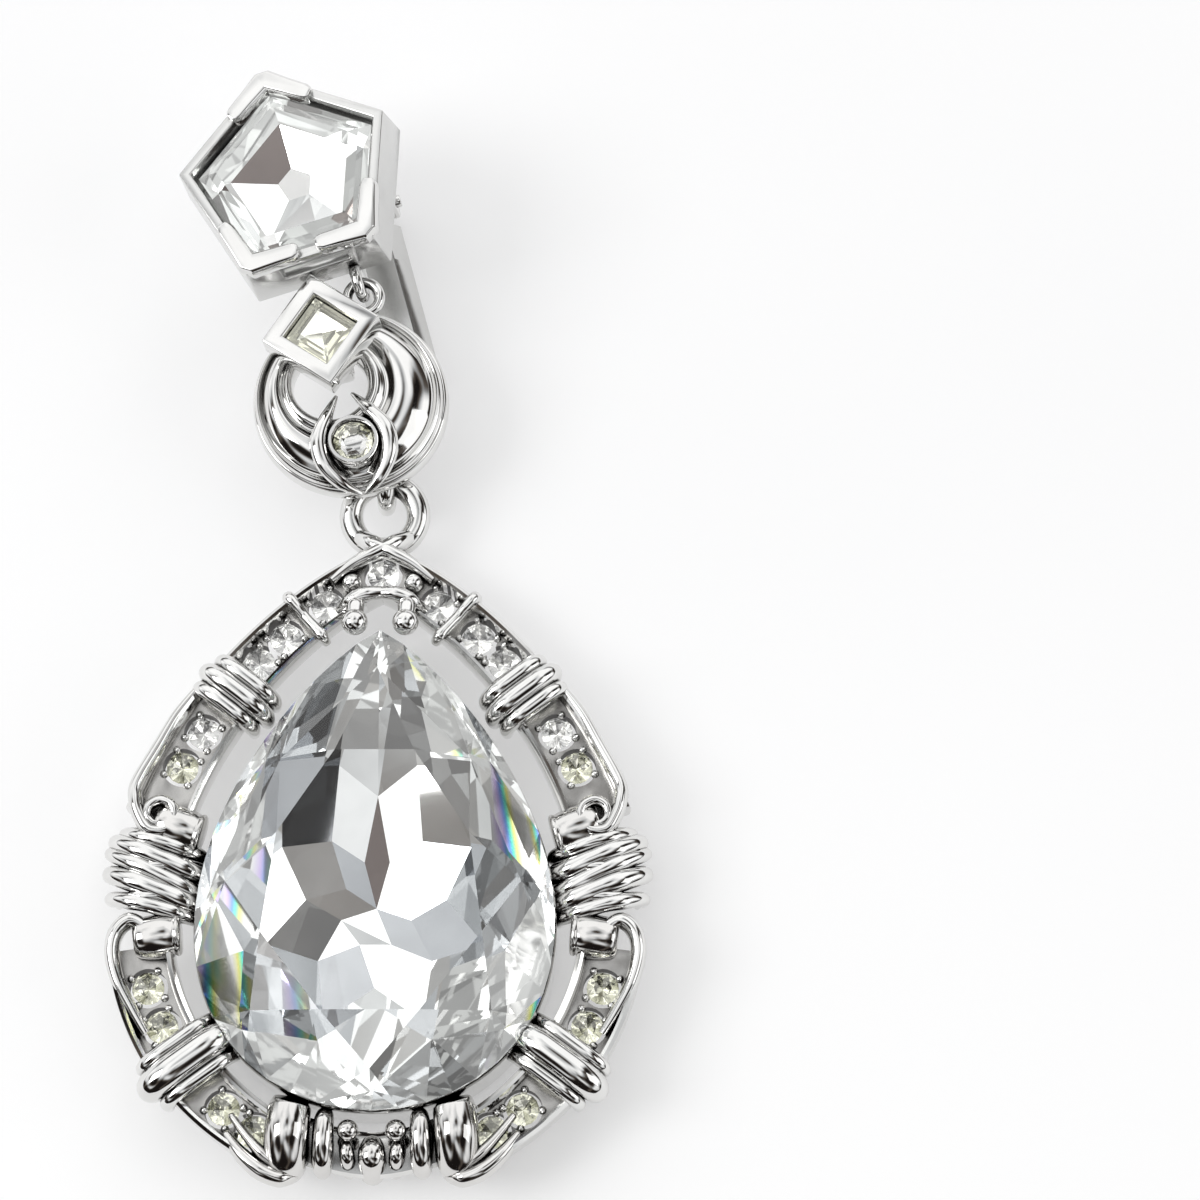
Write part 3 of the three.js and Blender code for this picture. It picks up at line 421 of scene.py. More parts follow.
# The glow of these foils is painted light; the shaded and dark foils are painted shade and painted
# reflection of dark parts of the room, and the lit foil is a painted highlight.
SILVER_FOILS = [
    foil("silver foil", (0.98, 0.99, 0.98), 0.02, 0.14),
    foil("silver foil, shaded facets", (0.58, 0.6, 0.62), 0.02),
    foil("silver foil, dark facets", (0.2, 0.17, 0.16), 0.03),
    foil("silver foil, edge facets", (0.97, 0.98, 0.97), 0.03, 0.26),
    foil("silver foil, lit facets", (0.99, 0.99, 0.98), 0.05, 0.75),
]
# The yellow tint is the aged foil's own colour; its glow is painted light, and the shaded copy is painted
# shade.
AGED_FOILS = [
    foil("aged foil", (0.93, 0.93, 0.84), 0.04, 0.22),
    foil("aged foil, shaded facets", (0.6, 0.6, 0.5), 0.1),
]
# The glow of these foils is painted light, and the shaded copy is painted shade.
CLEAR_FOILS = [
    foil("small stones' foil", (0.97, 0.97, 0.95), 0.04, 0.3),
    foil("small stones' foil, shaded facets", (0.55, 0.55, 0.55), 0.1, 0.1),
]


def cut_stone(name, levels, node, foils, slot_of):
    """Cut stone: flat facets stretched over rings of corners, foiled below the girdle."""
    start_clean()
    corners = [point for ring in levels for point in ring]
    bpy.ops.mesh.primitive_grid_add(x_subdivisions=len(corners) - 1, y_subdivisions=1)
    stone = bpy.context.object
    stone.name = stone.data.name = name
    for vertex, corner in zip(stone.data.vertices, corners + corners):
        vertex.co = in_row_frame(corner)
    bpy.ops.object.mode_set(mode="EDIT")
    bpy.ops.mesh.select_all(action="SELECT")
    bpy.ops.mesh.remove_doubles(threshold=1e-7)
    bpy.ops.mesh.convex_hull()
    bpy.ops.mesh.select_all(action="SELECT")
    bpy.ops.mesh.dissolve_limited(angle_limit=math.radians(0.6))
    bpy.ops.mesh.select_all(action="SELECT")
    bpy.ops.mesh.normals_make_consistent(inside=False)
    bpy.ops.object.mode_set(mode="OBJECT")
    for finish in [CLEAR] + foils:
        stone.data.materials.append(finish)
    for face in stone.data.polygons:
        face.use_smooth = False
        centre = face.center / MM - Vector((0, DROP_Y, 0))
        face.material_index = slot_of(centre, face.normal)
    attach(stone, "earring")
    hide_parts(node)
    return stone


def ring_of(count, radius, z, turn=0.0, middle=Vector((0, 0, 0)), place=Matrix()):
    return [
        place @ (middle + Vector((
            radius * math.sin(2 * math.pi * (k + turn) / count),
            radius * math.cos(2 * math.pi * (k + turn) / count),
            z,
        )))
        for k in range(count)
    ]


def brilliant(name, node, middle, radius, turn, place=Matrix(), foils=AGED_FOILS):
    levels = [
        ring_of(8, radius * 0.56, radius * 0.4, turn, middle, place),
        ring_of(8, radius * 0.8, radius * 0.26, turn + 0.5, middle, place),
        ring_of(16, radius, 0.0, turn, middle, place),
        ring_of(16, radius, -0.1, turn, middle, place),
        ring_of(8, radius * 0.45, radius * -0.5, turn + 0.5, middle, place),
        ring_of(1, 0.0, radius * -0.82, 0, middle, place),
    ]
    heart = place @ middle

    def slot_of(centre, normal):
        if normal.z > -0.1:
            return 0
        eighth = math.atan2(centre.x - heart.x, centre.y - heart.y) / (math.pi / 4) - turn
        # Painted shade: facets at three of the eight bearings take the shaded foil.
        return 2 if math.floor(eighth) % 8 in (0, 3, 5) else 1

    return cut_stone(name, levels, node, foils, slot_of)


spots = [on_course(0.0)]
for share in STONE_SHARES:
    right = on_course(share)
    spots += [right, Vector((-right.x, right.y, 0))]
for i, spot in enumerate(spots):
    brilliant(
        f"round_stone_{i + 1:02d}", f"frame_stone_{i + 1:02d}", spot + Vector((0, 0, STONE_Z)),
        STONE_RADIUS, 0.37 * i, foils=AGED_FOILS if spot.y < AGED_BELOW_Y else CLEAR_FOILS,
    )

# Seat beads: four small beads of metal round each stone, raised from the floor of the arm with a
# graver and pushed over the stone's edge to hold it.
BEAD_RADIUS = 0.26
BEAD_ACROSS, BEAD_ALONG, BEAD_Z = 0.82, 0.86, 3.45


def drop_bead(name, spot, radius, flat=1.0):
    """Round bead of metal, pushed up out of the casting."""
    start_clean()
    bpy.ops.mesh.primitive_uv_sphere_add(
        segments=20, ring_count=12, radius=radius * MM, location=in_row_frame(spot)
    )
    bead = bpy.context.object
    bead.name = bead.data.name = name
    bpy.ops.object.mode_set(mode="EDIT")
    bpy.ops.transform.resize(value=(1, 1, flat))
    bpy.ops.object.mode_set(mode="OBJECT")
    bpy.ops.object.transform_apply(location=True, rotation=False, scale=False)
    return bead


def as_one(name, pieces):
    """Like pieces joined into one object."""
    start_clean()
    for one in pieces:
        one.select_set(True)
    bpy.context.view_layer.objects.active = pieces[0]
    bpy.ops.object.join()
    made = bpy.context.object
    made.name = made.data.name = name
    return made


seat_beads = []
for share in STONE_SHARES:
    for side, end in ((-1, -1), (-1, 1), (1, -1), (1, 1)):
        spot = on_course(share, side * BEAD_ACROSS, end * BEAD_ALONG, BEAD_Z)
        seat_beads.append(drop_bead("seat_bead", spot, BEAD_RADIUS, 1.1))
beads = as_one("seat_beads", seat_beads)
finish_metal(across_the_drop(beads), "drop_frame")
finish_metal(beads, "drop_frame")

# Cuffs: three round ridges side by side that look tied round each arm, thin, thick, thin. They are
# cast in one with the frame.


def smooth_course(points, steps, looped=False):
    """Points of a smooth line through the given ones."""
    count = len(points)
    course = []
    spans = count if looped else count - 1
    for i in range(spans):
        if looped:
            a, b, c, d = (Vector(points[(i + k) % count]) for k in (-1, 0, 1, 2))
        else:
            a, b, c, d = (Vector(points[min(max(i + k, 0), count - 1)]) for k in (-1, 0, 1, 2))
        for k in range(steps):
            t = k / steps
            course.append(
                0.5 * (2 * b + (c - a) * t + (2 * a - 5 * b + 4 * c - d) * t * t
                       + (3 * b - 3 * c + d - a) * t ** 3)
            )
    if not looped:
        course.append(Vector(points[-1]))
    return course


def along(values, t):
    """Value at share t of an evenly spaced list."""
    place = t * (len(values) - 1)
    low = min(int(place), len(values) - 2)
    return values[low] + (values[low + 1] - values[low]) * (place - low)


def rod(name, points, radii, tall=1.0, steps=6, sides=12, looped=False, up=(0, 0, 1)):
    """Drawn rod through points in millimetres, its radius changing along it."""
    course = smooth_course(points, steps, looped)
    sections = []
    for i, point in enumerate(course):
        if looped:
            ahead, behind = course[(i + 1) % len(course)], course[i - 1]
        else:
            ahead, behind = course[min(i + 1, len(course) - 1)], course[max(i - 1, 0)]
        tangent = (ahead - behind).normalized()
        side = tangent.cross(Vector(up)).normalized()
        rise = side.cross(tangent)
        radius = along(radii, i / (len(course) - 1))
        sections.append([
            point + side * (radius * math.cos(a)) + rise * (radius * tall * math.sin(a))
            for a in (2 * math.pi * k / sides for k in range(sides))
        ])
    return skin(name, sections, looped)


def cuff(name, share, across, length, offsets, sizes, tops):
    ridges = []
    for back, size, high in zip(offsets, sizes, tops):
        half = length / 2 - abs(back) * 0.2
        path = [
            on_course(share, across - half, back, 2.6),
            on_course(share, across - half + 0.05, back, high - size - 0.9),
            on_course(share, across - half * 0.6, back, high - size - 0.15),
            on_course(share, across, back, high - size),
            on_course(share, across + half * 0.6, back, high - size - 0.1),
            on_course(share, across + half - 0.05, back, high - size - 0.8),
            on_course(share, across + half, back, 2.2),
        ]
        radii = [size * r for r in (0.6, 0.92, 1.0, 1.0, 1.0, 0.92, 0.6)]
        up = on_course(share, 0, 1) - on_course(share)
        ridges.append(rod(name, path, radii, up=up, sides=16))
    return as_one(name, ridges)


for cuff_piece in (
    cuff("upper_cuff", 0.24, -0.45, 4.6, (1.1, 0.0, -1.05), (0.58, 0.68, 0.56), (5.6, 5.95, 5.6)),
    cuff("lower_cuff", 0.735, -0.4, 5.6, (1.3, 0.0, -1.3), (0.5, 1.0, 0.5), (5.3, 6.0, 5.3)),
):
    finish_metal(across_the_drop(cuff_piece), "drop_frame")
    finish_metal(cuff_piece, "drop_frame")

# Strap: a narrow cast band over each upper arm, between two stones, that ends in a knob on the
# inside. It fences off the three stones at the tip.
STRAP_SHARE = 0.112
strap = rod(
    "strap",
    [on_course(STRAP_SHARE, across, 0.0, z) for across, z in
     ((1.75, 2.6), (1.62, 4.5), (0.9, 4.75), (0.0, 4.6), (-1.1, 4.75), (-1.75, 4.7), (-2.15, 4.2))],
    [0.34, 0.42, 0.34, 0.32, 0.34, 0.44, 0.3],
    up=on_course(STRAP_SHARE, 0, 1) - on_course(STRAP_SHARE),
)
finish_metal(across_the_drop(strap), "drop_frame")
finish_metal(strap, "drop_frame")

# Rope wrap: uneven diagonal strands round the widest part of each side, like cord wound on a bar.
# They are cast in one with the frame, and two thin ones cross the others.
ROPE_SHARE = 0.492
ROPE_MIDDLE = -0.9
strands = []
for back, reach, size, lean in (
    (2.05, 2.5, 0.5, 0.5), (1.05, 2.95, 0.62, 1.0), (0.05, 3.15, 0.52, 1.3), (-0.9, 2.95, 0.66, 0.9),
    (-2.0, 2.7, 0.5, 0.4), (0.5, 2.6, 0.34, -0.6), (-1.4, 2.3, 0.34, -0.4),
):
    path = [
        on_course(ROPE_SHARE, ROPE_MIDDLE - reach, back - lean * 0.7, 2.4),
        on_course(ROPE_SHARE, ROPE_MIDDLE - reach + 0.15, back - lean * 0.7, 3.6),
        on_course(ROPE_SHARE, ROPE_MIDDLE - reach * 0.5, back - lean * 0.4, 4.55 - size * 0.4),
        on_course(ROPE_SHARE, ROPE_MIDDLE, back, 4.95 - size * 0.5),
        on_course(ROPE_SHARE, ROPE_MIDDLE + reach * 0.5, back + lean * 0.4, 4.65 - size * 0.4),
        on_course(ROPE_SHARE, ROPE_MIDDLE + reach - 0.1, back + lean * 0.8, 3.5),
        on_course(ROPE_SHARE, ROPE_MIDDLE + reach, back + lean, 2.2),
    ]
    radii = [size * r for r in (0.7, 0.9, 1.12, 0.95, 1.1, 0.9, 0.7)]
    strands.append(rod("strand", path, radii, up=(0, 1, 0), sides=14))
rope = as_one("rope_wrap", strands)
finish_metal(across_the_drop(rope), "drop_frame")
finish_metal(rope, "drop_frame")

# Scrolls: at each end of the rope wrap a polished barrel points at the stone, and the arm's outer wall
# curls into a volute or loops back over the arm. All are cast with the frame.
POLISHED = plating("polished plating", (0.72, 0.71, 0.695), 0.07, 0.02)
BARREL_RADIUS, BARREL_Z = 1.36, 3.95


def barrel(name, share, inner, outer, radius, z):
    cuts = [
        (inner - 0.04, 0.4), (inner, 0.8), (inner + 0.1, 0.97), (inner + 0.3, 1.0), (inner + 0.42, 0.88),
        (inner + 0.55, 0.98), ((inner + outer) / 2, 1.06), (outer - 0.3, 0.95), (outer, 0.75),
    ]
    sections = []
    for across, share_of in cuts:
        size = radius * share_of
        sections.append([
            on_course(share, across, size * math.cos(a), z + size * math.sin(a))
            for a in (2 * math.pi * k / 20 for k in range(20))
        ])
    return skin(name, sections)


barrels = as_one("barrels", [
    barrel("barrel", 0.425, -3.05, 0.1, BARREL_RADIUS, BARREL_Z),
    barrel("barrel", 0.57, -2.6, 0.4, BARREL_RADIUS, BARREL_Z),
])
finish_metal(across_the_drop(barrels), "drop_frame", material=POLISHED, levels=1, angle=50)
finish_metal(barrels, "drop_frame", material=POLISHED, levels=1, angle=50)

VOLUTE = Vector((13.5, 2.57, 0))
VOLUTE_RADIUS = 1.22
curl = [on_course(share, across, 0, 4.15) for share, across in ((0.262, 1.75), (0.3, 1.85), (0.34, 1.8))]
curl += [Vector((14.95, 4.6, 4.3)), Vector((15.0, 3.4, 4.45))]
for k in range(10):
    bearing = math.radians(-5 - 52 * k)
    reach = VOLUTE_RADIUS - 0.07 * k
    curl.append(VOLUTE + Vector((reach * math.cos(bearing), reach * math.sin(bearing), 4.5 + 0.02 * k)))
upper_curl = rod(
    "upper_curl", curl,
    [0.28, 0.36, 0.42, 0.46, 0.47, 0.46, 0.44, 0.42, 0.4, 0.38, 0.36, 0.34, 0.32, 0.28, 0.24],
    tall=1.7, sides=14,
)
loop_back = [
    (13.9, -11.0, 3.9), (14.75, -9.6, 4.0), (15.65, -7.9, 4.15), (16.1, -6.2, 4.3), (15.9, -4.85, 4.4),
    (15.1, -4.1, 4.4), (14.2, -4.5, 4.3), (13.8, -5.4, 4.1),
]
lower_curl = rod(
    "lower_curl", loop_back, [0.3, 0.38, 0.44, 0.48, 0.52, 0.52, 0.46, 0.32], tall=1.6, sides=14
)
curls = as_one("curls", [upper_curl, lower_curl])
finish_metal(across_the_drop(curls), "drop_frame")
finish_metal(curls, "drop_frame")

# Foot ornament: upright barrels, columns and beads over the rim at the foot, between two leaf tips,
# on a plain sill that closes the frame. It is cast with the frame and polished.


def column(name, x, lean, radius, top_y, edge_y, high, low=1.2, end=1.0):
    path = [
        (x - lean, top_y, high - 1.0), (x - lean * 0.6, top_y - 0.45, high - radius * 0.75),
        (x, (top_y + edge_y) / 2, high - radius * 0.6), (x + lean * 0.4, edge_y + 0.5, high - radius - 0.2),
        (x + lean * 0.7, edge_y, high - radius - 1.2), (x + lean, edge_y - 0.1, low),
    ]
    radii = [radius * r for r in (0.75 * end, 0.95, 1.0, 1.0, 0.9, 0.6)]
    return rod(name, path, radii, up=(1, 0, 0), sides=14)


feet = [
    column("barrel", 5.1, 0.25, 1.42, -15.1, -18.9, 5.6, low=2.2),
    column("column", 2.95, 0.1, 0.68, -15.9, -19.1, 5.0, low=2.2),
    column("stem", 1.5, -0.1, 0.48, -17.4, -19.2, 4.3, low=2.2),
    drop_bead("bead", (1.45, -16.95, 4.55), 0.68),
]
leaf = [(8.9, -17.0, 3.9), (7.9, -18.3, 4.2), (6.7, -19.3, 4.2), (5.5, -19.75, 4.0), (4.6, -19.6, 3.5)]
feet.append(rod("leaf_tip", leaf, [0.3, 0.5, 0.62, 0.6, 0.3], tall=1.5))
inner_leaf = [(8.6, -15.9, 4.0), (7.6, -17.2, 4.3), (6.6, -18.3, 4.4), (5.7, -19.0, 4.2), (5.0, -19.4, 3.7)]
feet.append(rod("leaf_tip", inner_leaf, [0.22, 0.3, 0.42, 0.42, 0.25], tall=1.6))
foot = as_one("foot_ornament", feet)
finish_metal(across_the_drop(foot), "drop_frame", material=POLISHED, levels=1)
finish_metal(foot, "drop_frame", material=POLISHED, levels=1)
bell = column("bell", 0.0, 0.0, 0.85, -17.6, -19.3, 4.6, low=2.2)
finish_metal(bell, "drop_frame", material=POLISHED)
sill = skin("sill", [
    [on_course(0.88 + 0.12 * i / 10, across, 0, z) for across, z in
     ((0.3, 2.25), (0.4, 3.2), (0.2, 3.6), (-1.9, 3.6), (-2.4, 3.3), (-2.4, 2.25))]
    for i in range(11)
])
finish_metal(across_the_drop(sill), "drop_frame")
finish_metal(sill, "drop_frame")

# Tip of the frame: two ball prongs on stems grip the tip of the stone, joined by a collar, and two
# small beads sit above them. All are cast in one with the frame.
tip_parts = [
    drop_bead("prong", (1.58, 14.6, 5.85), 0.84, 0.95),
    drop_bead("bead", (1.95, 17.7, 4.1), 0.62),
    rod("prong_stem", [(1.5, 16.6, 3.0), (1.6, 16.1, 4.8), (1.6, 15.4, 5.3), (1.58, 14.8, 5.4)],
        [0.7, 0.62, 0.56, 0.5], up=(1, 0, 0)),
    rod("collar", [(2.7, 15.9, 4.0), (1.9, 16.35, 4.9), (0.9, 16.7, 5.05), (0, 16.8, 4.9)],
        [0.3, 0.45, 0.5, 0.42]),
]
prong = as_one("prongs", tip_parts)
finish_metal(across_the_drop(prong), "drop_frame")
finish_metal(prong, "drop_frame")

# Loop of the drop: a thick cast eye soldered on the tip, whose foot spreads into two ribbons that
# cross over the upper arms. The crescent ring's eye hangs in it.
TIP_Y = course(0).y
LOOP_RADIUS = 2.15
LOOP_MIDDLE = Vector((0, TIP_Y + 4.15, 2.9))
eye = [LOOP_MIDDLE + Vector((LOOP_RADIUS * math.sin(a), LOOP_RADIUS * math.cos(a), 0.25 * math.cos(a)))
       for a in (2 * math.pi * k / 16 for k in range(16))]
loop = [rod("drop_loop", eye, [0.76, 0.76], looped=True, steps=3, sides=16)]
for side in (-1, 1):
    ribbon = [
        (side * -1.5, TIP_Y + 2.6, 3.1), (side * -0.6, TIP_Y + 1.9, 3.9), (side * 0.6, TIP_Y + 1.2, 4.3),
        (side * 1.9, TIP_Y + 0.5, 4.3), (side * 3.2, TIP_Y - 0.5, 4.15),
    ]
    loop.append(rod("ribbon", ribbon, [0.5, 0.62, 0.5, 0.4, 0.3], tall=1.2))
finish_metal(as_one("drop_loop", loop), "drop_frame")

# Pear stone: clear lead glass of 30 x 22 mm with a broad table, and kite facets behind it that are
# silvered. Each kite's foil is painted a shade of its own as painted reflection of the part of the room it
# would mirror: the dark and shaded foils are painted shade, the glowing foils painted light.
CULET_Y = -3.2
PEAR_RING_STEPS = 600


def pear_ring(count, share, z, turn=0.0):
    """Corners round the pear at a share of its outline, spaced evenly along it."""
    ring = []
    for k in range(count):
        t = ((k + turn) / count) % 1.0
        mirror = t > 0.5
        place = min(t, 1 - t) * 2 * PEAR_RING_STEPS
        spot = pear_fine[round(place)][0].copy()
        spot.x *= -1 if mirror else 1
        middle = Vector((0, CULET_Y, 0))
        ring.append(middle + (spot - middle) * share + Vector((0, 0, z)))
    return ring


pear_fine = even_points(pear_outline, PEAR_RING_STEPS)
GIRDLE = 5.4


def height_at(a, b, c, spot):
    """Height over a spot of the plane through three corners."""
    normal = (b - a).cross(c - a)
    return a.z - ((spot.x - a.x) * normal.x + (spot.y - a.y) * normal.y) / normal.z


def next_tier(inside, tier, share, offset):
    """Tier of corners whose kites are flat: each lies in the plane of three corners inside it."""
    spots = pear_ring(8, share, 0.0, offset)
    for k, spot in enumerate(spots):
        first, second = (tier[k - 1], tier[k]) if offset == 0 else (tier[k], tier[(k + 1) % 8])
        spot.z = height_at(inside[k % len(inside)], first, second, spot)
    return spots


culet = [Vector((0, CULET_Y, GIRDLE - 4.5))]
inner_tier = pear_ring(8, 0.2, GIRDLE - 4.08, 0.5)
middle_tier = next_tier(culet, inner_tier, 0.4, 0.0)
third_tier = next_tier(inner_tier, middle_tier, 0.62, 0.5)
outer_tier = next_tier(middle_tier, third_tier, 0.84, 0.0)
table = pear_ring(8, 0.62, GIRDLE + 3.5, 0.5)
crown_tier = pear_ring(8, 0.83, GIRDLE + 2.25, 0.0)
EDGE_BELOW, THIRD_BELOW, MIDDLE_BELOW, INNER_BELOW = 0.3, 2.3, 3.1, 3.75
# Painted shade and light: per tier, the bearings whose kites take the shaded foil (2), the dark foil as
# painted reflection (3) and the lit foil as painted highlight (5).
PAINTED_SHADE_AND_LIGHT_FACETS = {
    "inner": {0: 3, 4: 2, 6: 2, 14: 2, 8: 5},
    "middle": {3: 2, 5: 2, 9: 2},
    "third": {0: 5, 14: 2, 4: 2, 10: 2},
}


def spectrum(name):
    """Foil of a facet painted in rainbow bands: painted glints standing in for the light that the glass
    splits into its colours.
    """
    material = bpy.data.materials.new(name)
    look = Finish(material)
    place = look.node("ShaderNodeTexCoord", output=3)
    bands = look.node("ShaderNodeTexWave", output=1, Vector=place, Scale=55.0, Distortion=1.5)
    tint = look.node("ShaderNodeValToRGB", {"stops": [
        (0.05, (0.95, 0.95, 0.95)), (0.25, (0.75, 0.6, 1.0)), (0.42, (0.25, 0.45, 1.0)),
        (0.58, (0.2, 0.95, 0.7)), (0.74, (0.95, 0.95, 0.3)), (0.92, (0.97, 0.97, 0.95)),
    ]}, Fac=bands)
    surface = look.node("ShaderNodeBsdfPrincipled", Base_Color=tint, Metallic=1.0, Roughness=0.08)
    look.node("ShaderNodeOutputMaterial", Surface=surface)
    return material


GLINT = spectrum("silver foil, glints")
GLINTS = (8, 9, 17, 31, 32, 44)
PAINTED_SHADE_SLICES = (4, 15, 29, 38, 46)


def pear_slot(centre, normal):
    """Foil of a facet of the pear stone, by its tier and its bearing from the culet; the foils carry painted
    shade, painted reflection, painted light and painted glints.
    """
    depth = GIRDLE - centre.z
    if depth < EDGE_BELOW:
        return 0
    bearing = math.atan2(centre.x, centre.y - CULET_Y)
    if depth > THIRD_BELOW:
        tier = "inner" if depth > INNER_BELOW else "middle" if depth > MIDDLE_BELOW else "third"
        return PAINTED_SHADE_AND_LIGHT_FACETS[tier].get(round(bearing / (math.pi / 8)) % 16, 1)
    slice_of_48 = round(bearing / (math.pi / 24)) % 48
    if slice_of_48 in GLINTS:
        return 6
    # Painted shade on the listed slices; the other slices glow as painted light.
    return 2 if slice_of_48 in PAINTED_SHADE_SLICES else 1 if slice_of_48 % 4 == 1 else 4


cut_stone(
    "pear_crystal",
    [
        table, crown_tier, pear_ring(48, 1.0, GIRDLE + 0.17), pear_ring(48, 1.0, GIRDLE - 0.17),
        outer_tier, third_tier, middle_tier, inner_tier, culet,
    ],
    "pear_stone", SILVER_FOILS + [GLINT], pear_slot,
)

# Crescent ring: two crescents in one cast ring, broad and polished between raised edge lines. Two leaf
# ribbons clasp the collet of a small round stone, and an eye behind it carries the drop.


def turned(x, y, z, turn, roll):
    return (
        Matrix.Translation((x, y, z))
        @ Matrix.Rotation(math.radians(turn), 4, "Z")
        @ Matrix.Rotation(math.radians(-roll), 4, "Y")
    )


RING = turned(-2.15, 29.4, 4.15, 12, 0)
RING_RADIUS = 6.3
HOLE = Vector((-1.1, 1.25, 0))
HOLE_RADIUS = 2.35
ring_profile = [
    (0.0, 0.15), (0.0, 1.9), (0.04, 2.3), (0.1, 2.55), (0.17, 2.5), (0.22, 2.1), (0.27, 2.15),
    (0.38, 2.45), (0.52, 2.4), (0.66, 2.05), (0.76, 1.6), (0.8, 1.45), (0.83, 1.7), (0.87, 1.85),
    (0.91, 1.6), (0.925, 1.4), (0.95, 1.45), (0.98, 1.25), (1.0, 0.8), (0.985, 0.1), (0.9, 0.0), (0.1, 0.0),
]
ring_sections = []
for k in range(72):
    a = 2 * math.pi * k / 72
    inner = HOLE + Vector((math.sin(a), math.cos(a), 0)) * HOLE_RADIUS
    outer = Vector((math.sin(a), math.cos(a), 0)) * RING_RADIUS
    ring_sections.append([RING @ (inner.lerp(outer, u) + Vector((0, 0, z))) for u, z in ring_profile])
crescents = skin("crescents", ring_sections, looped=True)
finish_metal(crescents, "crescent_ring", levels=1)

COLLET = Vector((-0.35, -3.2, 0))
collet_profile = [
    (1.28, 1.8), (1.3, 3.1), (1.38, 3.3), (1.55, 3.3), (1.66, 3.1), (1.7, 1.2), (1.7, 0.4), (1.28, 0.4),
]
collet = skin("collet", [
    [RING @ (COLLET + Vector((r * math.sin(a), r * math.cos(a), z))) for r, z in collet_profile]
    for a in (2 * math.pi * k / 40 for k in range(40))
], looped=True)
finish_metal(collet, "crescent_ring")
brilliant("collet_brilliant", "collet_stone", COLLET + Vector((0, 0, 2.95)), 1.25, 0.2, RING)
for side in (-1, 1):
    leaf = [
        (side * 0.5, 3.4, 2.2), (side * 1.35, 2.0, 2.75), (side * 2.15, 0.5, 2.9), (side * 2.1, -1.1, 2.75),
        (side * 1.2, -2.5, 2.4), (side * 0.15, -3.25, 1.9),
    ]
    ribbon = rod(
        "collet_leaf", [RING @ (COLLET + Vector(p)) for p in leaf],
        [0.12, 0.42, 0.56, 0.56, 0.44, 0.15], tall=0.8,
    )
    finish_metal(ribbon, "crescent_ring")
eye_path = []
for k in range(12):
    a = 2 * math.pi * k / 12
    eye_path.append(LOOP_MIDDLE + Vector((0.1, 2.2 + 1.6 * math.sin(a), 0.15 + 1.6 * math.cos(a))))
finish_metal(rod("ring_eye", eye_path, [0.56, 0.56], looped=True, up=(1, 0, 0)), "crescent_ring")

# Square setting: a cast square cup with a broad flat rim and a square step-cut crystal, one corner up.
# A strap bail soldered behind it goes through the ring, and a wire hook above it holds the top setting.
SQUARE = turned(-3.75, 32.85, 7.55, 11, 4)
SQUARE_SIDE, SQUARE_STONE_SIDE = 5.4, 3.2


def cup(name, sides, radius, flare, depth, wall, floor, place):
    """Straight-sided cup: a prism inset at its rim and pressed down to its floor."""
    start_clean()
    bpy.ops.mesh.primitive_cone_add(
        vertices=sides, radius1=(radius + flare) * MM, radius2=radius * MM, depth=depth * MM,
        location=(0, 0, depth / 2 * MM),
    )
    made = bpy.context.object
    made.name = made.data.name = name
    bpy.ops.object.transform_apply(location=True, rotation=True, scale=True)
    bpy.ops.object.mode_set(mode="EDIT")
    bpy.ops.mesh.select_all(action="DESELECT")
    bpy.ops.object.mode_set(mode="OBJECT")
    for face in made.data.polygons:
        face.select = face.normal.z > 0.9
    bpy.ops.object.mode_set(mode="EDIT")
    bpy.ops.mesh.select_mode(type="FACE")
    bpy.ops.mesh.inset(thickness=wall * MM, depth=0)
    bpy.ops.mesh.extrude_region_move(TRANSFORM_OT_translate={"value": (0, 0, (floor - depth) * MM)})
    bpy.ops.object.mode_set(mode="OBJECT")
    for vertex in made.data.vertices:
        vertex.co = in_row_frame(place @ (vertex.co / MM))
    return made


square_cup = cup("square_cup", sides=4, radius=SQUARE_SIDE / math.sqrt(2), flare=0.0, depth=2.0,
                 wall=1.0, floor=0.5, place=SQUARE)
finish_metal(square_cup, "bail_setting", bevel=0.13)


def step_cut(name, node, sides, radius, crown, table, pavilion, ledge, sunk, place, middle, foils, slot_of):
    levels = [
        ring_of(sides, radius * table, crown, 0, middle, place),
        ring_of(sides, radius * (0.45 + 0.55 * table), 0.66 * crown, 0, middle, place),
        ring_of(sides, radius, 0.0, 0, middle, place),
        ring_of(sides, radius, -0.15, 0, middle, place),
        ring_of(sides, radius * ledge, -sunk * pavilion, 0, middle, place),
        ring_of(1, 0.0, -pavilion, 0, middle, place),
    ]
    return cut_stone(name, levels, node, foils, slot_of)


# Painted light: the aged foil behind the pavilion glows.
step_cut("square_crystal", "square_stone", sides=4, radius=SQUARE_STONE_SIDE / math.sqrt(2), crown=0.4,
         table=0.62, pavilion=0.8, ledge=0.66, sunk=0.7, place=SQUARE, middle=Vector((0, 0, 1.5)),
         foils=AGED_FOILS, slot_of=lambda centre, normal: 0 if normal.z > -0.15 else 1)

BAIL_MIDDLE = Vector((0.2, 0.9, -2.45))
BAIL_PROFILE = [
    (-1.0, -0.2), (-0.85, -0.32), (0.85, -0.32), (1.0, -0.2), (1.0, 0.15), (0.8, 0.32), (-0.8, 0.32),
    (-1.0, 0.15),
]
bail_path = []
for k in range(20):
    a = 2 * math.pi * k / 20
    bail_path.append(SQUARE @ (BAIL_MIDDLE + Vector((0, 2.75 * math.sin(a), 2.42 * math.cos(a)))))
bail_sections = []
for k, point in enumerate(bail_path):
    tangent = (bail_path[(k + 1) % 20] - bail_path[k - 1]).normalized()
    across = (SQUARE.to_3x3() @ Vector((1, 0, 0))).normalized()
    out = tangent.cross(across)
    bail_sections.append([point + across * u + out * v for u, v in BAIL_PROFILE])
bail = skin("strap_bail", bail_sections, looped=True)
finish_metal(bail, "bail_setting", levels=1)
CLIP_X = 3.0
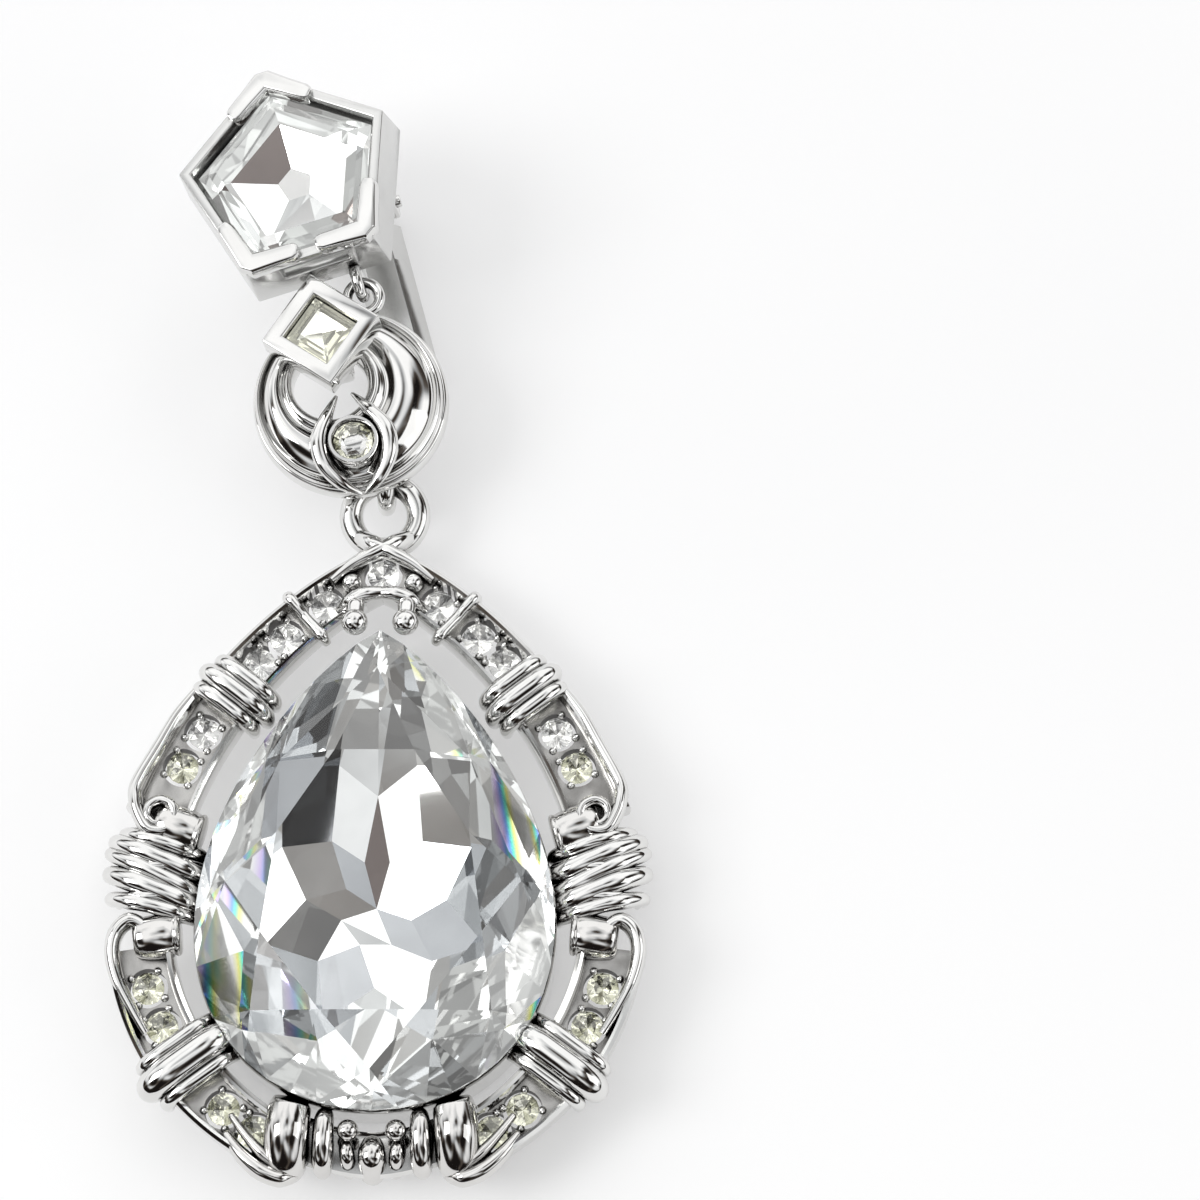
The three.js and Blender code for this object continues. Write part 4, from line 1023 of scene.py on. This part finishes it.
PIN_Y, PIN_Z = 0.4, -6.25
CHEEK_RADIUS = 1.05
YOKE_HALF = 2.05
TOP_ROLL = math.radians(9)
YOKE_REACH = CHEEK_RADIUS - PIN_Z
TOP_BACK = YOKE_REACH * math.cos(TOP_ROLL) + (YOKE_HALF - CLIP_X) * math.sin(TOP_ROLL) + 0.05
TOP = turned(-5.4, 42.9, TOP_BACK, 15, 9)
TOP_RADIUS, TOP_FLARE = 7.2, 0.4
LUG = Vector((2.1, -(TOP_RADIUS + TOP_FLARE) * math.cos(math.pi / 5) - 0.9, 0.25))
HOOK_RADIUS = 1.05
hook_middle = SQUARE.inverted() @ (TOP @ (LUG - Vector((0, HOOK_RADIUS, 0))))
hook = [SQUARE @ (hook_middle + Vector((HOOK_RADIUS * math.sin(a), HOOK_RADIUS * math.cos(a), 0)))
        for a in (2 * math.pi * k / 12 for k in range(12))]
finish_metal(rod("hook", hook, [0.35, 0.35], looped=True), "bail_setting")

# Top setting: a five-sided cast cup of satin metal with a slot in its lower wall. Three bright chevron
# claws are folded over its corners and hold a five-sided step-cut crystal.
SATIN = plating("satin plating", (0.7, 0.7, 0.69), 0.2, 0.15)
TOP_WALL = 0.62
top_cup = cup("top_cup", sides=5, radius=TOP_RADIUS, flare=TOP_FLARE, depth=4.0, wall=TOP_WALL,
              floor=0.7, place=TOP)


def slot_in_wall(made):
    """Cuts the slot through the lower wall."""
    start_clean()
    bpy.ops.mesh.primitive_cube_add(size=1)
    cutter = bpy.context.object
    for vertex in cutter.data.vertices:
        local = Vector((vertex.co.x * 4.4, -5.9 + vertex.co.y * 3, 2.65 + vertex.co.z * 1.5))
        vertex.co = in_row_frame(TOP @ local)
    start_clean()
    made.select_set(True)
    bpy.context.view_layer.objects.active = made
    cut = made.modifiers.new("slot", "BOOLEAN")
    cut.operation = "DIFFERENCE"
    cut.object = cutter
    bpy.ops.object.modifier_apply(modifier="slot")
    bpy.data.objects.remove(cutter)


slot_in_wall(top_cup)
finish_metal(top_cup, "top_setting", material=SATIN, bevel=0.1)


CLAW_LENGTH = 3.3
CLAW_LOW, CLAW_HIGH = 3.55, 4.62


def claw(angle):
    """Chevron bar with round ends, folded over one corner of the rim."""
    reach = TOP_RADIUS - TOP_WALL
    corner = Vector((reach * math.cos(angle), reach * math.sin(angle), 0))
    sections = []
    spine = []
    for bend in (126, -126):
        heading = angle + math.radians(bend)
        spine.append(corner + Vector((math.cos(heading), math.sin(heading), 0)) * CLAW_LENGTH)
    line = [spine[0].lerp(corner, t) for t in (0, 0.06, 0.15, 0.5, 0.97)]
    line += [corner.lerp(spine[1], t) for t in (0.03, 0.5, 0.85, 0.94, 1)]
    widths = [0.32, 0.52, 0.6, 0.62, 0.72, 0.72, 0.62, 0.6, 0.52, 0.32]
    for i, (point, width) in enumerate(zip(line, widths)):
        ahead = line[min(i + 1, 9)] - line[max(i - 1, 0)]
        side = ahead.normalized().cross(Vector((0, 0, 1)))
        sections.append([
            TOP @ (point + side * (width * u) + Vector((0, 0, CLAW_LOW + (CLAW_HIGH - CLAW_LOW) * v)))
            for u, v in ((-1, 0), (-1, 0.72), (-0.72, 1), (0.72, 1), (1, 0.72), (1, 0))
        ])
    return skin("claw", sections)


claws = as_one("claws", [claw(math.radians(a)) for a in (90, -54, -126)])
finish_metal(claws, "top_setting", angle=35, bevel=0.07)


STEP_RADIUS = 3.4


def pentagon_slot(centre, normal):
    """One of the five inner facets takes the dark foil as painted reflection, and the edge facets take the
    glowing edge foil as painted light.
    """
    if normal.z > -0.1:
        return 0
    local = TOP.inverted() @ centre
    if math.hypot(local.x, local.y) > STEP_RADIUS:
        return 4
    return 3 if local.x < 0 and local.y > 0 else 1


step_cut("pentagon_crystal", "pentagon_stone", sides=5, radius=6.1, crown=1.15, table=0.76,
         pavilion=2.6, ledge=0.69, sunk=0.72, place=TOP, middle=Vector((0, 0, 3.1)),
         foils=SILVER_FOILS, slot_of=pentagon_slot)
LUG_RADIUS = 0.95
lug = [TOP @ (LUG + Vector((0, LUG_RADIUS * math.sin(a), LUG_RADIUS * math.cos(a))))
       for a in (2 * math.pi * k / 12 for k in range(12))]
finish_metal(rod("lug", lug, [0.36, 0.36], looped=True, up=(1, 0, 0)), "top_setting")

# Ear clip: a folded sheet yoke soldered to the back of the cup, whose two cheeks carry a riveted pin.
# The lever is a channel of thin sheet with a rolled toe, and its knuckle turns on the pin.
CHEEK_THICK = 0.7
cheeks = []
cheek_side = [(1.0, 0.3), (PIN_Y - CHEEK_RADIUS, PIN_Z)]
for k in range(1, 9):
    a = math.pi * k / 8
    cheek_side.append((PIN_Y - CHEEK_RADIUS * math.cos(a), PIN_Z - CHEEK_RADIUS * math.sin(a)))
cheek_side.append((4.8, 0.3))
for side in (-1, 1):
    cheeks.append(skin("cheek", [
        [TOP @ Vector((CLIP_X + side * (YOKE_HALF - t), y, z)) for y, z in cheek_side]
        for t in (CHEEK_THICK, 0.0)
    ]))
plate = skin("plate", [
    [TOP @ Vector((CLIP_X + x * YOKE_HALF, y, z)) for x, z in ((-1, -0.7), (1, -0.7), (1, 0.1), (-1, 0.1))]
    for y in (0.7, 4.9)
])
finish_metal(as_one("clip_yoke", cheeks + [plate]), "top_setting", bevel=0.1)
pin = rod("hinge_pin", [TOP @ Vector((CLIP_X + x, PIN_Y, PIN_Z)) for x in (-2.25, -2.2, 0, 2.2, 2.25)],
          [0.3, 0.42, 0.42, 0.42, 0.3], up=(0, 0, 1))
finish_metal(pin, "clip_pin")
LEVER_LEAN = math.atan2(1.0, 10.6)
LEVER = TOP @ Matrix.Translation((CLIP_X, PIN_Y, PIN_Z)) @ Matrix.Rotation(LEVER_LEAN, 4, "X")
lever_sections = []
for y, deep in ((-1.4, 2.0), (-4.0, 1.75), (-8.0, 1.4), (-12.0, 1.0)):
    lip = 1.05 - deep
    lever_sections.append([
        LEVER @ Vector((x, y, z)) for x, z in (
            (-1.8, lip), (-1.75, lip + 0.15), (-1.05, 0.98), (-0.95, 1.05), (0.95, 1.05), (1.05, 0.98),
            (1.75, lip + 0.15), (1.8, lip), (1.3, lip), (0.8, 0.35), (-0.8, 0.35), (-1.3, lip),
        )
    ])
knuckle = rod("knuckle", [LEVER @ Vector((x, 0, 0)) for x in (-1.22, -1.1, 0, 1.1, 1.22)],
              [0.95, 1.04, 1.04, 1.04, 0.95], sides=24)
tongue = skin("tongue", [
    [LEVER @ Vector((x, y, z)) for x, z in ((-1.2, 0.35), (1.2, 0.35), (1.2, 1.04), (-1.2, 1.04))]
    for y in (-0.05, -1.5)
])
toe = rod("toe", [LEVER @ Vector((x, -12.3, 0.55)) for x in (-1.4, -1.3, 0, 1.3, 1.4)],
          [0.4, 0.5, 0.5, 0.5, 0.4], sides=16)
lever = as_one("lever_channel", [skin("lever_channel", lever_sections), knuckle, tongue, toe])
finish_metal(lever, "clip_lever", body="clip_lever", material=SATIN, bevel=0.06)

# Surface: a sheet of matt white card on a light table, that the earring lies on. The light that comes
# through it keeps the shadows pale.
start_clean()
bpy.ops.mesh.primitive_plane_add(size=3.0, location=(0, 0, -0.0002))
board = bpy.context.object
board.name = board.data.name = "board"
card = bpy.data.materials.new("white card")
card_look = Finish(card)
card_place = card_look.node("ShaderNodeTexCoord", output=3)
card_cloud = card_look.node("ShaderNodeTexNoise", Vector=card_place, Scale=9.0, Detail=2.0)
card_tint = card_look.node(
    "ShaderNodeValToRGB",
    {"stops": [(0.3, (0.6, 0.6, 0.605)), (0.7, (0.64, 0.64, 0.64))]},
    Fac=card_cloud,
)
card_look.node(
    "ShaderNodeOutputMaterial",
    Surface=card_look.node(
        "ShaderNodeBsdfPrincipled", Base_Color=card_tint, Roughness=0.6,
        Emission_Color=(1, 1, 1, 1), Emission_Strength=0.38,
    ),
)
board.data.materials.append(card)

# Light: a bright white room with darker gaps between its lamps and windows, which the facets and the
# plating mirror, and two soft lamps, one at each side, that throw the pale shadows.
world = bpy.data.worlds.new("white room")
bpy.context.scene.world = world
room = Finish(world)
direction = room.node("ShaderNodeTexCoord", output=0)
height = room.node("ShaderNodeSeparateXYZ", output=2, Vector=direction)
towards_head = room.node("ShaderNodeSeparateXYZ", output=1, Vector=direction)
patches = room.node("ShaderNodeTexNoise", Vector=direction, Scale=1.9, Detail=1.0, Roughness=0.35)
overhead = room.node("ShaderNodeMapRange", {"interpolation_type": "SMOOTHSTEP"}, Value=height,
                     From_Min=0.55, From_Max=0.95)
skyline = room.node("ShaderNodeMapRange", {"interpolation_type": "SMOOTHSTEP"}, Value=height,
                    From_Min=0.0, From_Max=0.4, To_Min=-1.0, To_Max=0.0)
shade = room.node(
    "ShaderNodeValToRGB",
    {"stops": [
        (0.37, (0.015, 0.012, 0.011)), (0.445, (0.12, 0.1, 0.085)), (0.495, (0.48, 0.49, 0.5)),
        (0.55, (0.98, 0.99, 1.0)), (0.66, (1.5, 1.5, 1.5)),
    ]},
    Fac=patches + overhead * 0.1 + towards_head * 0.16 + skyline * 0.1,
)
light = room.node("ShaderNodeBackground", Color=shade, Strength=0.85)
room.node("ShaderNodeOutputWorld", Surface=light)
bpy.context.scene.view_settings.view_transform = "Standard"


def lamp(name, place, aim, size, power):
    bpy.ops.object.light_add(type="AREA", location=place)
    made = bpy.context.object
    made.name = name
    made.data.size = size
    made.data.energy = power
    made.rotation_euler = (Vector(aim) - Vector(place)).to_track_quat("-Z", "Y").to_euler()


start_clean()
lamp("ceiling lamp", (-0.62, -0.05, 0.6), (0, 0, 0), 0.4, 2.6)
lamp("side lamp", (0.75, -0.1, 0.5), (0, 0, 0), 0.5, 1.0)

# Camera: above the earring, a little towards its foot, with a long lens that keeps its outline
# nearly flat.
bpy.ops.object.camera_add()
camera = bpy.context.object
aim = Vector((0.01375, 0.00164, 0.005))
camera.location = aim + Vector((0, -0.0643, 0.2104))
camera.rotation_euler = (aim - camera.location).to_track_quat("-Z", "Y").to_euler()
camera.data.lens = 105
camera.data.clip_start = 0.01
bpy.context.scene.camera = camera
